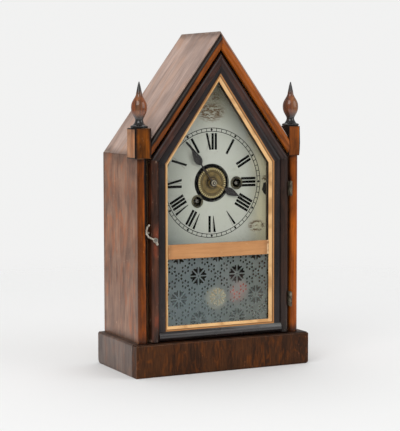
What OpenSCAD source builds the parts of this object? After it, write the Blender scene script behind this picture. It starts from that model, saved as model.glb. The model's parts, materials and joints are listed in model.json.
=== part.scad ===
// Sharp-gabled wooden table clock with a glazed door, an alarm movement and a short pendulum.
// Millimetres. The origin is the centre of the base's underside.
// X runs to the viewer's right, Y to the back and Z up.

/* [Base] */
// Width of the base box
base_w = 213.6; // [206:0.1:260]
// Depth of the base box, and of the whole clock
base_d = 109.4; // [104:0.1:140]
// Height of the base box
base_h = 36; // [28:0.5:60]
// Thickness of the board across the front of the base
base_front_t = 12; // [8:0.5:14]
// Thickness of the two boards at the sides of the base
base_side_t = 8; // [4:0.1:8]
// Thickness of the floor board that the case stands on
floor_t = 12; // [6:0.5:20]
// Radius of the rounded lower corners at the back of the base
base_round = 5.5; // [2:0.5:10]
// Radius of the worn lower edge along the base's right side
base_worn_round = 3.4; // [1:0.1:6]
// Width of the small bevel along the base's upper edges
base_bevel = 1.2; // [0.4:0.1:2.5]

/* [Case] */
// Width over the two side boards
case_w = 197.5; // [190:0.1:200]
// Height of the outer shoulder, where a side board meets the roof
shoulder_z = 240.5; // [232:0.5:250]
// Height of the ridge, and of the whole clock
ridge_z = 375; // [366:0.5:385]
// Thickness of a side board
side_t = 10.7; // [9.5:0.1:12]
// Thickness of a roof board
roof_t = 9.5; // [7:0.1:11]
// Thickness of the backboard
back_t = 8; // [4:0.5:12]
// Distance from the base's front to the front edge of a side board
side_setback = 14; // [13:0.1:16]
// Distance from the base's front to the front edge of a roof board
roof_setback = 10.1; // [9.6:0.1:11.5]
// Height of the top of a pilaster
pilaster_top = 237; // [234:0.5:238]
// Width of the half-round moulding along a gable
moulding_w = 10.2; // [8:0.1:10.4]
// Width of roof edge that shows above that moulding
moulding_reveal = 1.8; // [0.5:0.1:2.2]

/* [Capitals and finials] */
// Width of the left-hand capital block
capital_w = 19.4; // [15:0.1:20.4]
// Width of the right-hand capital block, which is cut narrower
right_capital_w = 16.4; // [14:0.1:19]
// Depth of a capital block
capital_d = 22; // [16:0.5:30]
// Height of a capital block
capital_h = 33; // [28:0.5:40]
// Distance from the door's edge to the inner face of the left-hand capital
capital_gap = 1.1; // [0.8:0.1:2]
// Distance that the right-hand capital reaches in over the door's edge
right_capital_lap = 0.1; // [-1:0.1:0.3]
// Distance from the base's front to the front of the left-hand capital
capital_setback = 4.4; // [3.5:0.1:6]
// Distance from the base's front to the front of the right-hand capital
right_capital_setback = 6.9; // [4:0.1:8]
// Bevel around the edges of a capital
capital_bevel = 0.8; // [0.3:0.1:2]
// Radius of the collar at the foot of a finial
finial_collar_r = 9.6; // [6:0.1:9.7]
// Largest radius of the finial's bulb
finial_bulb_r = 8.75; // [6:0.05:12]
// Radius of the finial's neck
finial_neck_r = 4.3; // [3:0.1:6]
// Height of a finial above its capital
finial_h = 50; // [46:0.5:56]

/* [Door] */
// Gap between the door's edge and the side board
door_gap = 3.55; // [3.3:0.05:3.8]
// Distance from the roof's upper face to the door's gable edge, square to the slope
door_drop = 14.2; // [13.8:0.1:16]
// Distance from the base's front to the door's front
door_setback = 6.4; // [6:0.1:7.4]
// Thickness of the door
door_t = 12; // [11:0.1:12.2]
// Gap under the door
door_foot_gap = 1; // [0.5:0.1:2]
// Width of a door stile
stile_w = 17.1; // [15:0.1:20]
// Width of the stile's outer, red-brown band
stile_band_w = 8.7; // [6:0.1:10]
// Width of a gable rail of the door at its upper end
gable_rail_w = 13.2; // [12:0.1:16]
// Degrees by which the glass's gable is steeper than the roof
slip_steeper = 1.7; // [0:0.1:2.5]
// Height of the bottom rail
bottom_rail_h = 10.5; // [8:0.5:16]
// Width of the gilt slip around the glass
slip_w = 4.9; // [3.5:0.1:6]
// Height of the crossbar's lower edge
crossbar_z = 126; // [110:0.5:136]
// Height of the crossbar itself
crossbar_h = 16; // [8:0.5:20]
// Thickness of the two panes
glass_t = 2; // [1.5:0.1:2.5]
// Play between a pane and its frame
glass_play = 0.2; // [0.1:0.05:0.4]

/* [Hinges and latch] */
// Height of each hinge
hinge_h = 16; // [12:0.5:20]
// Height of the lower hinge's middle
hinge_low_z = 74.5; // [58:0.5:110]
// Height of the upper hinge's middle
hinge_high_z = 200; // [160:0.5:215]
// Outer radius of a hinge knuckle
knuckle_r = 1.6; // [1.4:0.05:1.65]
// Radius of a hinge pin
hinge_pin_r = 0.7; // [0.5:0.05:0.9]
// Thickness of a hinge leaf
leaf_t = 0.7; // [0.5:0.05:0.8]
// Height of the latch's screw
latch_z = 149; // [130:0.5:200]
// Distance from the door's edge in to the latch's screw
latch_inset = 3.1; // [2.8:0.1:4.5]
// Distance from the latch's screw across to the catch pin on the pilaster
latch_reach = 8.4; // [8.2:0.1:10.5]
// Height of the catch pin above the latch's screw
latch_rise = 8.5; // [7:0.1:12]

/* [Dial] */
// Height of the dial's centre
dial_z = 207.3; // [204:0.1:210]
// Distance from the base's front to the dial's face
dial_setback = 32.4; // [31.5:0.1:33]
// Thickness of the dial sheet
dial_t = 0.6; // [0.4:0.1:0.8]
// Height of the dial's lower edge
dial_foot_z = 127; // [118:0.5:140]
// Radius of the opening around the alarm disc
dial_hole_r = 20.5; // [19:0.1:20.6]
// Length of the minute hand from the dial's centre
minute_hand_r = 62.2; // [50:0.1:64]
// Length of the hour hand from the dial's centre
hour_hand_r = 43.5; // [34:0.5:50]
// Minute shown at rest
minute_shown = 54.1; // [0:0.1:59.9]
// Hour shown at rest
hour_shown = 2.94; // [0:0.02:11.98]
// Radius of the alarm disc
alarm_disc_r = 17.4; // [14:0.1:18.5]
// Scallops around the alarm disc
alarm_scallops = 60; // [36:1:72]

/* [Movement] */
// Thickness of the movement's plates
plate_t = 1.2; // [0.8:0.1:1.6]
// Clear distance between the two plates
plate_gap = 31.8; // [31:0.1:33]
// Distance from the dial's face back to the front plate
plate_setback = 13.3; // [13:0.1:14]
// Running clearance between an arbor and its hole
running = 0.07; // [0.03:0.01:0.1]
// Going side's winding arbor, across from the dial's centre
time_x = 31; // [30:0.1:32.5]
// Going side's winding arbor, up from the dial's centre
time_z = -0.9; // [-3:0.1:1]
// Alarm's winding arbor, across from the dial's centre
alarm_x = -18; // [-19:0.1:-17.5]
// Alarm's winding arbor, up from the dial's centre
alarm_z = -20.2; // [-21.5:0.1:-19.5]
// Verge and pendulum pivot, across from the dial's centre
verge_x = 10; // [8:0.1:12]
// Verge and pendulum pivot, up from the dial's centre
verge_z = 34.5; // [33.5:0.1:36]
// Length of the pendulum from its pivot to the bob's middle
pendulum_l = 166.3; // [150:0.1:175]
// Radius of the pendulum bob
bob_r = 12.5; // [8:0.1:14]
// Thickness of the pendulum bob
bob_t = 5; // [3:0.1:6]

/* [Bell] */
// Bell's centre, across from the middle of the case
bell_x = 41; // [38:0.5:48]
// Height of the bell's centre
bell_z = 84; // [78:0.5:92]
// Radius of the bell's rim
bell_r = 21; // [16:0.5:22]
// Depth of the bell
bell_depth = 16; // [10:0.5:18]
// Wall of the bell
bell_wall = 1.2; // [0.8:0.1:2]
// Distance from the base's front to the bell's crown
bell_setback = 49.7; // [48.5:0.1:52]

/* [Hidden] */
$fn = 48;

// Main planes
front_y = -base_d / 2;
rear_y = base_d / 2;
side_y = front_y + side_setback;
roof_y = front_y + roof_setback;
case_x = case_w / 2;
inner_x = case_x - side_t;
slope = atan((ridge_z - shoulder_z) / case_x);

// Door
door_x = inner_x - door_gap;
door_y = front_y + door_setback;
door_back_y = door_y + door_t;
door_foot = base_h + door_foot_gap;
slip_x = door_x - stile_w;
slip_drop = door_drop + gable_rail_w;
slip_foot = door_foot + bottom_rail_h;
stile_crown = 2.5;
inner_band_setback = 2.2;
inner_band_crown = 1.2;
bottom_rail_crown = 3;
slip_setback = 2.9;
slip_rise = 4.9;
slip_edge_t = 0.7;
slip_y = door_y + slip_setback;
glass_y = slip_y + slip_rise + slip_edge_t;
ledge_y = glass_y + glass_t;
sight_x = slip_x - slip_w;
sight_foot = slip_foot + slip_w;
slip_slope = slope + slip_steeper;
slip_apex = slope_z(0, slip_drop);

// Capitals
capital_x = door_x + capital_gap;
capital_y = front_y + capital_setback;
right_capital_x = door_x - right_capital_lap;
right_capital_y = front_y + right_capital_setback;
right_capital_corner = 3;
capital_top = pilaster_top + capital_h;

// Hinges: the pin stands a little in front of the door, in the middle of the gap beside it
hinge_x = inner_x - door_gap / 2;
hinge_y = door_y - 1.5;
hinge_z = [hinge_low_z, hinge_high_z];
knuckle_play = 0.2;
leaf_depth = 9;
leaf_relief = 0.4;
hinge_pin_proud = 0.8;

// Latch: it turns on a screw in the door's left stile and drops round a pin in the pilaster
latch_at = [-door_x + latch_inset, latch_z];
catch_at = latch_at + [-latch_reach, latch_rise];
latch_y = door_y - 0.8;
latch_t = 1.2;
latch_band = 1.8;
latch_boss_r = 2.7;
latch_shank_r = 0.9;
catch_pin_r = 0.7;
catch_play = 0.35;

// Dial and what stands behind it
dial_y = front_y + dial_setback;
dial_back_y = dial_y + dial_t;
dial_margin = 8.25;
dial_x = inner_x - dial_margin;
dial_drop = roof_t + 1;
rail_lip_x = dial_x + 0.4;
rail_x = dial_x - 3.8;
rail_top = shoulder_z - 5;
rail_depth = 12;
rail_back_y = dial_back_y + rail_depth;
rail_front_y = door_back_y + 0.3;
grommet_hole_r = 5.8;
grommet_bore_r = 5.2;
pin_shank_r = 0.5;

// Movement planes, front to back
plate_front = dial_y + plate_setback;
plate_inside = plate_front + plate_t;
back_inside = plate_inside + plate_gap;
back_plate_y = back_inside + plate_t;
block_back = rear_y - back_t;
plate_x = [-36, 62];
plate_z = [-42, 50];
plate_lug = 10;
pillar_at = [[-30, -36], [56, -36], [-30, 44], [56, 44]];
screw_at = [[-30, -47], [56, -47], [-30, 55], [56, 55]];
pillar_r = 2.5;
pillar_stub_r = 1.5;
screw_r = 1.5;

// Wheel work: modules are pitch diameters divided by teeth
time_at = [time_x, time_z];
alarm_at = [alarm_x, alarm_z];
verge_at = [verge_x, verge_z];
main_teeth = 48;
centre_teeth = 80;
third_teeth = 77;
escape_teeth = 40;
centre_leaves = 12;
third_leaves = 8;
escape_leaves = 7;
main_m = 2 * norm(time_at) / (main_teeth + centre_leaves);
centre_m = 0.5;
third_m = 0.45;
third_r = centre_m * (centre_teeth + third_leaves) / 2;
escape_gap = third_m * (third_teeth + escape_leaves) / 2;
escape_drop = 12;
escape_at = verge_at - [0, escape_drop];
escape_r = 9.2;
third_turn = acos((third_r ^ 2 + norm(escape_at) ^ 2 - escape_gap ^ 2) / (2 * third_r * norm(escape_at)));
third_dir = atan2(escape_at[1], escape_at[0]) + third_turn;
third_at = third_r * [cos(third_dir), sin(third_dir)];

// Motion work in front of the plate: 12 to 36, then 10 to 40, so the hour hand turns once in twelve
cannon_leaves = 12;
minute_teeth = 36;
cannon_m = 0.625;
minute_leaves = 10;
hour_teeth = 40;
motion_m = 0.6;
motion_r = cannon_m * (cannon_leaves + minute_teeth) / 2;
motion_at = motion_r * [cos(120), sin(120)];

arbor_r = 1.5;
cannon_r = 2.2;
hour_pipe_r = 3.1;
winding_r = 2.5;
winding_square = 3.4;
time_tip_y = dial_y + 0.5;
thin_arbor_r = 0.8;
hammer_at = [22, -36];
hammer_head_r = 3.4;
hammer_gap = 0.6;
bell_at = [bell_x, bell_z];
bell_y = front_y + bell_setback;
bell_rim_y = bell_y + bell_depth;

// Hands: planes and angles at rest, clockwise from twelve as seen from the front
hand_t = 0.6;
alarm_disc_y = dial_y - 0.9;
hour_hand_y = dial_y - 2.3;
minute_hand_y = dial_y - 4.3;
minute_angle = minute_shown * 6;
hour_angle = (hour_shown + minute_shown / 60) * 30;

// Pendulum plane, in front of the plate and behind the motion work
rod_y = plate_front - 3.3;
rod_r = 0.6;

// Height of a line that runs parallel to the roof, a given distance below it
function slope_z(x, drop) = ridge_z - drop / cos(slope) - abs(x) * tan(slope);

// Height of the glass opening's gable, a given distance inside the gilt slip's outer edge
function slip_z(x, inset) = slip_apex - inset / cos(slip_slope) - abs(x) * tan(slip_slope);

// Outline of a gabled panel with upright sides
function house(half, drop, foot) = [[-half, foot], [-half, slope_z(half, drop)], [0, slope_z(0, drop)],
    [half, slope_z(half, drop)], [half, foot]];

// Smooth step from a to b as t goes from 0 to 1
function ease(a, b, t) = a + (b - a) * (1 - cos(180 * t)) / 2;

// Upright outline, drawn in X and Z, made solid from y0 back to y1
module slab(y0, y1) {
    translate([0, y1, 0]) rotate([90, 0, 0]) linear_extrude(y1 - y0) children();
}

// Round bar along Y from y0 back to y1, at a place given across and up
module bar(at, r, y0, y1) {
    translate([at[0], y0, at[1]]) rotate([-90, 0, 0]) cylinder(h = y1 - y0, r = r);
}

// Moves children to a place given from the dial's centre
module at_dial(at) {
    translate([at[0], 0, dial_z + at[1]]) children();
}

// Section drawn as distance below a sloping line and Y, run down that line to the right of its apex
module along(apex, steepness) {
    overrun = 30;
    translate([0, 0, apex]) rotate([0, 90 + steepness, 0]) translate([0, 0, -overrun])
        linear_extrude(case_w + 2 * overrun) children();
}

// Part of a circle that bulges by rise beyond a chord lying on the X axis, towards -Y
module bulge(chord, rise) {
    r = (chord ^ 2 / 4 + rise ^ 2) / (2 * rise);
    intersection() {
        translate([0, r - rise]) circle(r = r, $fn = 96);
        translate([-chord / 2, -rise]) square([chord, rise]);
    }
}

module both_sides() {
    children();
    mirror([1, 0, 0]) children();
}

// Section of a door member from a to b: a flat back, and a rounded front that is set back
module member(a, b, setback, rise) {
    edge = setback + rise;
    translate([a, door_y + edge]) square([b - a, door_t - edge]);
    translate([(a + b) / 2, door_y + edge]) bulge(b - a, rise);
}

// Case

module side_board() {
    slab(side_y, rear_y) polygon([[case_x, base_h], [case_x, shoulder_z],
        [inner_x, slope_z(inner_x, roof_t)], [inner_x, base_h]]);
}

module side_left() color("saddlebrown") difference() {
    mirror([1, 0, 0]) side_board();
    catch_pin_bar();
}

module side_right() color("saddlebrown") side_board();

module roof_board() {
    slab(roof_y, rear_y) polygon([[0, ridge_z], [case_x, shoulder_z],
        [inner_x, slope_z(inner_x, roof_t)], [0, slope_z(0, roof_t)]]);
}

module roof_left() color("peru") mirror([1, 0, 0]) roof_board();

module roof_right() color("peru") roof_board();

module backboard() color("burlywood") difference() {
    union() {
        slab(block_back, rear_y) polygon(house(inner_x, roof_t, base_h - floor_t));
        foot_x = base_w / 2 - base_side_t;
        translate([-foot_x, block_back, 0]) cube([2 * foot_x, back_t, base_h - floor_t]);
    }
    bar([bell_at[0], bell_at[1]], bell_post_r, block_back - 1, block_back + 5);
    for (at = screw_at) at_dial(at) bar([0, 0], screw_r, back_inside, block_back - 4);
}

module floor_board() color("tan") difference() {
    half = base_w / 2 - base_side_t;
    depth = base_d - base_front_t;
    translate([-half, rear_y - depth, base_h - floor_t]) cube([2 * half, depth, floor_t]);
    translate([-inner_x, block_back, base_h - floor_t - 1]) cube([2 * inner_x, back_t + 1, floor_t + 2]);
}

// Upright side of the base, with its lower right corner rounded
module base_outline(w, r) {
    difference() {
        square([w, base_h]);
        translate([w - r, 0]) square([r, r]);
    }
    translate([w - r, r]) circle(r = r);
}

// The whole base from the front
module worn_outline() {
    translate([-base_w / 2, 0]) base_outline(base_w, base_worn_round);
}

module base_front() color("sienna") difference() {
    slab(front_y, front_y + base_front_t) worn_outline();
    base_edge_bevels();
}

// Wedges that take the sharp upper edges off the base
module base_edge_bevels() {
    long = base_w + 2;
    cut = base_bevel / sqrt(2);
    thick = 2 * base_bevel;
    translate([0, front_y, base_h]) rotate([45, 0, 0])
        translate([-long / 2, -base_bevel, -cut]) cube([long, thick, thick]);
    both_sides() translate([base_w / 2, 0, base_h]) rotate([0, 45, 0])
        translate([-cut, -base_d, -base_bevel]) cube([thick, 2 * base_d, thick]);
}

module base_side() {
    difference() {
        translate([base_w / 2 - base_side_t, 0, 0]) rotate([90, 0, 90]) linear_extrude(base_side_t)
            translate([front_y + base_front_t, 0]) base_outline(base_d - base_front_t, base_round);
        base_edge_bevels();
    }
}

module base_side_left() color("sienna") mirror([1, 0, 0]) base_side();

module base_side_right() color("sienna") intersection() {
    base_side();
    slab(front_y, rear_y) worn_outline();
}

module pilaster() {
    r = side_t / 2;
    translate([case_x - r, side_y, base_h]) intersection() {
        cylinder(h = pilaster_top - base_h, r = r, $fn = 96);
        translate([-r, -r, 0]) cube([2 * r, r, pilaster_top]);
    }
}

module pilaster_left() color("chocolate") difference() {
    mirror([1, 0, 0]) pilaster();
    catch_pin_bar();
}

module pilaster_right() color("chocolate") pilaster();

module gable_moulding(reach) {
    r = moulding_w / 2;
    intersection() {
        along(ridge_z, slope) translate([moulding_reveal + r, roof_y]) circle(r = r, $fn = 96);
        translate([0, roof_y - r, base_h]) cube([reach, r, ridge_z]);
    }
}

module gable_moulding_left() color("chocolate") mirror([1, 0, 0]) gable_moulding(capital_x);

module gable_moulding_right() color("chocolate") gable_moulding(right_capital_x);

// Block over a pilaster, cut to sit around the corner of the case. Its front outer corner is cut off,
// and its outer side is drawn as pairs: how far in from the full width, and how high.
module capital(x, y, w, corner, outer_side) {
    difference() {
        translate([x, y, pilaster_top]) intersection() {
            linear_extrude(capital_h) polygon([[capital_bevel, 0], [w - corner, 0], [w, corner],
                [w, capital_d], [0, capital_d], [0, capital_bevel]]);
            slab(0, capital_d) polygon(concat([[0, 0]], [for (at = outer_side) [w - at[0], at[1]]],
                [[0, capital_h]]));
        }
        slab(roof_y, rear_y) polygon(house(case_x, 0, pilaster_top - 1));
        translate([x + w / 2, y + capital_d / 2, capital_top - finial_tenon])
            cylinder(h = finial_tenon + 1, r = finial_tenon_r);
    }
}

module capital_left() color("dimgray") mirror([1, 0, 0])
    capital(capital_x, capital_y, capital_w, capital_bevel, [[capital_bevel, 0], [0, capital_bevel],
        [0, capital_h - capital_bevel], [capital_bevel, capital_h]]);

// The right-hand block has a slightly bellied outer side that draws in at its foot
module capital_right() color("dimgray")
    capital(right_capital_x, right_capital_y, right_capital_w, right_capital_corner,
        [[2.6, 0], [1.6, 2.6], [0.7, 6.5], [0, 15], [1.1, capital_h]]);

// Turned profile: collar, hollowed neck, flame-shaped bulb and spike
finial_tenon = 6;
finial_tenon_r = 3;
collar_h = 2.8;
collar_round = 0.8;
neck_z = 9;
bulb_z = 21.5;
spike_z = 37.5;
spike_r = 3.2;
tip_r = 0.5;
finial_steps = 12;
finial_points = concat(
    [[0, -finial_tenon], [finial_tenon_r, -finial_tenon], [finial_tenon_r, 0],
    [finial_collar_r - collar_round, 0], [finial_collar_r, collar_round],
    [finial_collar_r, collar_h - collar_round], [finial_collar_r - collar_round, collar_h]],
    [for (i = [0:5]) let (t = i / 6)
        [finial_neck_r + (finial_collar_r - finial_neck_r - 2.6) * (1 - t) ^ 2,
        collar_h + 0.4 + (neck_z - collar_h - 0.4) * t]],
    [for (i = [0:finial_steps]) let (t = i / finial_steps)
        [ease(finial_neck_r, finial_bulb_r, t ^ 0.7), neck_z + (bulb_z - neck_z) * t]],
    [for (i = [1:finial_steps]) let (t = i / finial_steps)
        [ease(finial_bulb_r, spike_r, t ^ 1.3), bulb_z + (spike_z - bulb_z) * t]],
    [[spike_r * 0.8, finial_h - 9.4], [spike_r * 0.52, finial_h - 5], [tip_r, finial_h - tip_r],
    [0, finial_h]]);

module finial(x, y) {
    translate([x, y + capital_d / 2, capital_top]) rotate_extrude($fn = 64) polygon(finial_points);
}

module finials() color("saddlebrown") {
    finial(-capital_x - capital_w / 2, capital_y);
    finial(right_capital_x + right_capital_w / 2, right_capital_y);
}

// Dial and its fixings

module dial_rails() color("burlywood") difference() {
    both_sides() {
        translate([rail_lip_x, rail_front_y, base_h])
            cube([inner_x - rail_lip_x, rail_back_y - rail_front_y, rail_top - base_h]);
        translate([rail_x, dial_back_y, base_h])
            cube([rail_lip_x - rail_x, rail_back_y - dial_back_y, rail_top - base_h]);
    }
    dial_pin_shanks();
}

module dial() color("gainsboro") difference() {
    slab(dial_y, dial_back_y) polygon(house(dial_x, dial_drop, dial_foot_z));
    bar([0, dial_z], dial_hole_r, dial_y - 1, dial_back_y + 1);
    for (at = [time_at, alarm_at]) at_dial(at) bar([0, 0], grommet_hole_r, dial_y - 1, dial_back_y + 1);
    dial_pin_shanks();
}

pin_spots = [for (z = [dial_foot_z + 4, dial_z, rail_top - 6]) [dial_x - 1.9, z]];
pin_shank_l = 6;
pin_head_r = 1.4;
pin_head_t = 0.5;

module dial_pin_shanks() {
    both_sides() for (at = pin_spots) bar(at, pin_shank_r, dial_y - pin_head_t, dial_y + pin_shank_l);
}

module dial_pins() color("goldenrod") {
    dial_pin_shanks();
    both_sides() for (at = pin_spots) bar(at, pin_head_r, dial_y - pin_head_t, dial_y);
}

module grommet(flange_r) {
    difference() {
        union() {
            bar([0, 0], flange_r, dial_y - 0.7, dial_y);
            bar([0, 0], grommet_hole_r, dial_y - 0.1, dial_back_y);
        }
        bar([0, 0], grommet_bore_r, dial_y - 2, dial_back_y + 1);
    }
}

module winding_grommets() color("darkgoldenrod") {
    at_dial(time_at) grommet(7.4);
    at_dial(alarm_at) grommet(7.2);
}

// Movement frame

// Round windows in both plates: across, up and radius
plate_windows = [[-27, 30, 8], [42, 36, 7], [12, -33, 6]];

module plate(y0, y1, z_low, z_high) {
    at_dial([0, 0]) slab(y0, y1) difference() {
        translate([plate_x[0], z_low]) square([plate_x[1] - plate_x[0], z_high - z_low]);
        for (window = plate_windows) translate([window[0], window[1]]) circle(r = window[2]);
    }
}

// Pivot holes of one plate, each a running fit on the arbor that turns in it
module pivot_holes(y0, y1, front) {
    holes = [[[0, 0], front ? cannon_r : pivot_r], [time_at, front ? winding_r : arbor_r],
        [alarm_at, front ? winding_r : arbor_r], [third_at, pivot_r], [escape_at, fine_pivot_r],
        [verge_at, front ? thin_arbor_r : pivot_r], [hammer_at, pivot_r]];
    for (hole = holes) at_dial(hole[0]) bar([0, 0], hole[1] + running, y0 - 1, y1 + 1);
}

pivot_r = 0.6;
fine_pivot_r = 0.4;

module front_plate() color("goldenrod") {
    difference() {
        plate(plate_front, plate_inside, plate_z[0], plate_z[1]);
        pivot_holes(plate_front, plate_inside, true);
        for (at = pillar_at) at_dial(at) bar([0, 0], pillar_stub_r, plate_front - 1, plate_inside + 1);
        at_dial(post_at) bar([0, 0], post_stub_r, plate_front - 1, plate_inside + 1);
    }
    at_dial(motion_at) bar([0, 0], motion_stud_r, dial_back_y + 0.6, plate_front + 0.2);
}

motion_stud_r = 1;

module back_plate() color("goldenrod") difference() {
    plate(back_inside, back_plate_y, plate_z[0] - plate_lug, plate_z[1] + plate_lug);
    pivot_holes(back_inside, back_plate_y, false);
    for (at = pillar_at) at_dial(at) bar([0, 0], pillar_stub_r, back_inside - 1, back_plate_y + 1);
    for (at = screw_at) at_dial(at) bar([0, 0], screw_r, back_inside - 1, back_plate_y + 1);
}

module plate_pillars() color("silver") for (at = pillar_at) at_dial(at) {
    bar([0, 0], pillar_r, plate_inside, back_inside);
    bar([0, 0], pillar_stub_r, plate_front - nut_t - 1, back_plate_y);
}

screw_head_r = 3;
screw_head_t = 1.6;
slot_depth = 0.8;
slot_w = 0.8;
nut_r = 3.2;
nut_t = 2;

module movement_screws() color("gray") {
    head_y = back_inside - screw_head_t;
    for (at = screw_at) at_dial(at) {
        difference() {
            bar([0, 0], screw_head_r, head_y, back_inside);
            translate([-screw_head_r - 1, head_y - 1, -slot_w / 2])
                cube([2 * screw_head_r + 2, slot_depth + 1, slot_w]);
        }
        bar([0, 0], screw_r, back_inside - 0.1, block_back - 4);
    }
    for (at = pillar_at) at_dial(at) difference() {
        translate([0, plate_front - nut_t, 0]) rotate([-90, 0, 0]) cylinder(h = nut_t, r = nut_r, $fn = 6);
        bar([0, 0], pillar_stub_r, plate_front - nut_t - 2, plate_front + 1);
    }
}

module movement_blocks() color("burlywood") difference() {
    for (z = [[plate_z[0] - plate_lug - 2, plate_z[0] + 2], [plate_z[1] - 2, plate_z[1] + plate_lug]])
        at_dial([0, 0]) translate([plate_x[0] - 4, back_plate_y, z[0]])
            cube([plate_x[1] - plate_x[0] + 4, block_back - back_plate_y, z[1] - z[0]]);
    for (at = screw_at) at_dial(at) bar([0, 0], screw_r, back_inside, block_back - 4);
}

// Post above the verge, with the small pin that the pendulum's eye hangs on
post_at = verge_at + [0, 8];
post_r = 2;
post_stub_r = 1.2;
suspension_r = 0.7;
suspension_y = rod_y - 2;

module suspension_post() color("darkgoldenrod") {
    at_dial(post_at) bar([0, 0], post_r, suspension_y - 1.4, plate_front);
    at_dial(post_at) bar([0, 0], post_stub_r, plate_front - 0.1, plate_inside);
    at_dial(verge_at) translate([-post_r, suspension_y - 1.4, -1.6])
        cube([2 * post_r, 1.4, post_at[1] - verge_at[1] + 1.6]);
    at_dial(verge_at) bar([0, 0], suspension_r, suspension_y - 0.1, rod_y + 1.2);
}

// Flat spiral strip, wound from a small radius to a large one
module spiral(r0, r1, turns, strip, y0, y1) {
    steps = 16;
    n = turns * steps;
    function place(i, start) = let (a = 360 * i / steps)
        (start + (r1 - r0 - strip) * i / n) * [cos(a), sin(a)];
    outer = [for (i = [0:n]) place(i, r0 + strip)];
    inner = [for (i = [n:-1:0]) place(i, r0)];
    slab(y0, y1) polygon(concat(outer, inner));
}

spring_front = 15;
spring_w = 9;
spring_y = [plate_inside + spring_front, plate_inside + spring_front + spring_w];
spring_play = 0.4;
time_spring_r = 22;
time_spring_t = 0.6;
time_spring_turns = 7;
alarm_spring_r = 14;
alarm_spring_t = 0.5;
alarm_spring_turns = 5;

module mainsprings() color("steelblue") {
    eye_r = winding_r + spring_play;
    at_dial(time_at)
        spiral(eye_r, time_spring_r, time_spring_turns, time_spring_t, spring_y[0], spring_y[1]);
    at_dial(alarm_at)
        spiral(eye_r, alarm_spring_r, alarm_spring_turns, alarm_spring_t, spring_y[0], spring_y[1]);
}

// Alarm bell

bell_post_r = 2;
bell_nut_r = 3.4;
bell_nut_t = 2.4;
bell_seat_r = 3.4;
bell_seat_t = 2;
bell_steps = 9;
// Depth of the crown's inner curve where the seat's edge comes
bell_seat_sag = (bell_depth - bell_wall) * (1 - sqrt(1 - (bell_seat_r / (bell_r - bell_wall)) ^ 2));
bell_seat_y = bell_y + bell_wall + bell_seat_sag + 0.15;
function bell_arc(r, depth) = [for (i = [0:bell_steps]) let (a = 90 * i / bell_steps)
    [r * sin(a), depth * cos(a)]];

module alarm_bell() color("indianred") translate([bell_at[0], bell_rim_y, bell_at[1]]) rotate([90, 0, 0])
    difference() {
        rotate_extrude($fn = 64) polygon(concat(bell_arc(bell_r, bell_depth),
            [for (i = [bell_steps:-1:0]) bell_arc(bell_r - bell_wall, bell_depth - bell_wall)[i]]));
        cylinder(h = bell_depth + 1, r = bell_post_r);
    }

module bell_post() color("gray") {
    bar(bell_at, bell_post_r, bell_y - bell_nut_t - 0.6, block_back + 5);
    difference() {
        translate([bell_at[0], bell_y - bell_nut_t, bell_at[1]]) rotate([-90, 0, 0])
            cylinder(h = bell_nut_t, r = bell_nut_r, $fn = 6);
        bar(bell_at, bell_post_r - 0.2, bell_y - bell_nut_t - 1, bell_y + 1);
    }
    bar(bell_at, bell_seat_r, bell_seat_y, bell_seat_y + bell_seat_t);
}

// Door

shoulder_out = slip_z(slip_x, 0);
shoulder_in = slip_z(sight_x, slip_w);

// Outlines of the three runs around the opening, which the slip fills and a ledge behind it follows:
// up a side, along the gable and across the foot
side_run = [[slip_x, slip_foot], [slip_x, shoulder_out], [sight_x, shoulder_in], [sight_x, sight_foot]];
gable_run = [[0, slip_z(0, 0)], [slip_x, shoulder_out], [sight_x, shoulder_in], [0, slip_z(0, slip_w)]];
foot_run = [[-slip_x, slip_foot], [slip_x, slip_foot], [sight_x, sight_foot], [-sight_x, sight_foot]];

module door_stile() {
    outer_top = slope_z(door_x, door_drop);
    band = door_x - stile_band_w;
    intersection() {
        union() {
            linear_extrude(ridge_z) member(band, door_x, 0, stile_crown);
            translate([0, 0, slip_foot]) linear_extrude(ridge_z)
                member(slip_x, band, inner_band_setback, inner_band_crown);
        }
        slab(door_y - 1, door_back_y + 1) polygon([[slip_x, door_foot], [door_x, door_foot],
            [door_x, outer_top], [slip_x, shoulder_out]]);
    }
    slab(ledge_y, door_back_y) polygon(side_run);
}

module door_stile_left() color("saddlebrown") difference() {
    mirror([1, 0, 0]) door_stile();
    latch_shank();
}

module door_stile_right() color("saddlebrown") door_stile();

module door_rail_bottom() color("black") {
    band = door_x - stile_band_w;
    translate([-band, 0, 0]) rotate([90, 0, 90]) linear_extrude(2 * band)
        translate([0, door_foot]) rotate([0, 0, 90]) mirror([0, 1])
            member(0, bottom_rail_h, 0, bottom_rail_crown);
    slab(ledge_y, door_back_y) polygon(foot_run);
}

// The rail's outer band follows the roof and its inner band follows the glass. They part at a line
// that meets the stile's own line at the mitre.
module door_gable() {
    rail_foot_w = (slope_z(slip_x, door_drop) - shoulder_out) * cos(slope);
    seam_drop = door_drop + rail_foot_w * stile_band_w / stile_w;
    tuck = 0.5;
    inner_reach = 9;
    intersection() {
        union() {
            along(ridge_z, slope) member(door_drop, seam_drop, 0, stile_crown);
            intersection() {
                along(slip_apex, slip_slope) member(-inner_reach, 0, inner_band_setback, inner_band_crown);
                slab(door_y, door_back_y) polygon([[0, slope_z(0, seam_drop - tuck)],
                    [door_x, slope_z(door_x, seam_drop - tuck)], [slip_x, shoulder_out], [0, slip_apex]]);
            }
        }
        slab(door_y - 1, door_back_y + 1) polygon([[0, slope_z(0, door_drop)],
            [door_x, slope_z(door_x, door_drop)], [slip_x, shoulder_out], [0, slip_apex]]);
    }
    slab(ledge_y, door_back_y) polygon(gable_run);
}

module door_gable_left() color("black") mirror([1, 0, 0]) door_gable();

module door_gable_right() color("black") door_gable();

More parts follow.
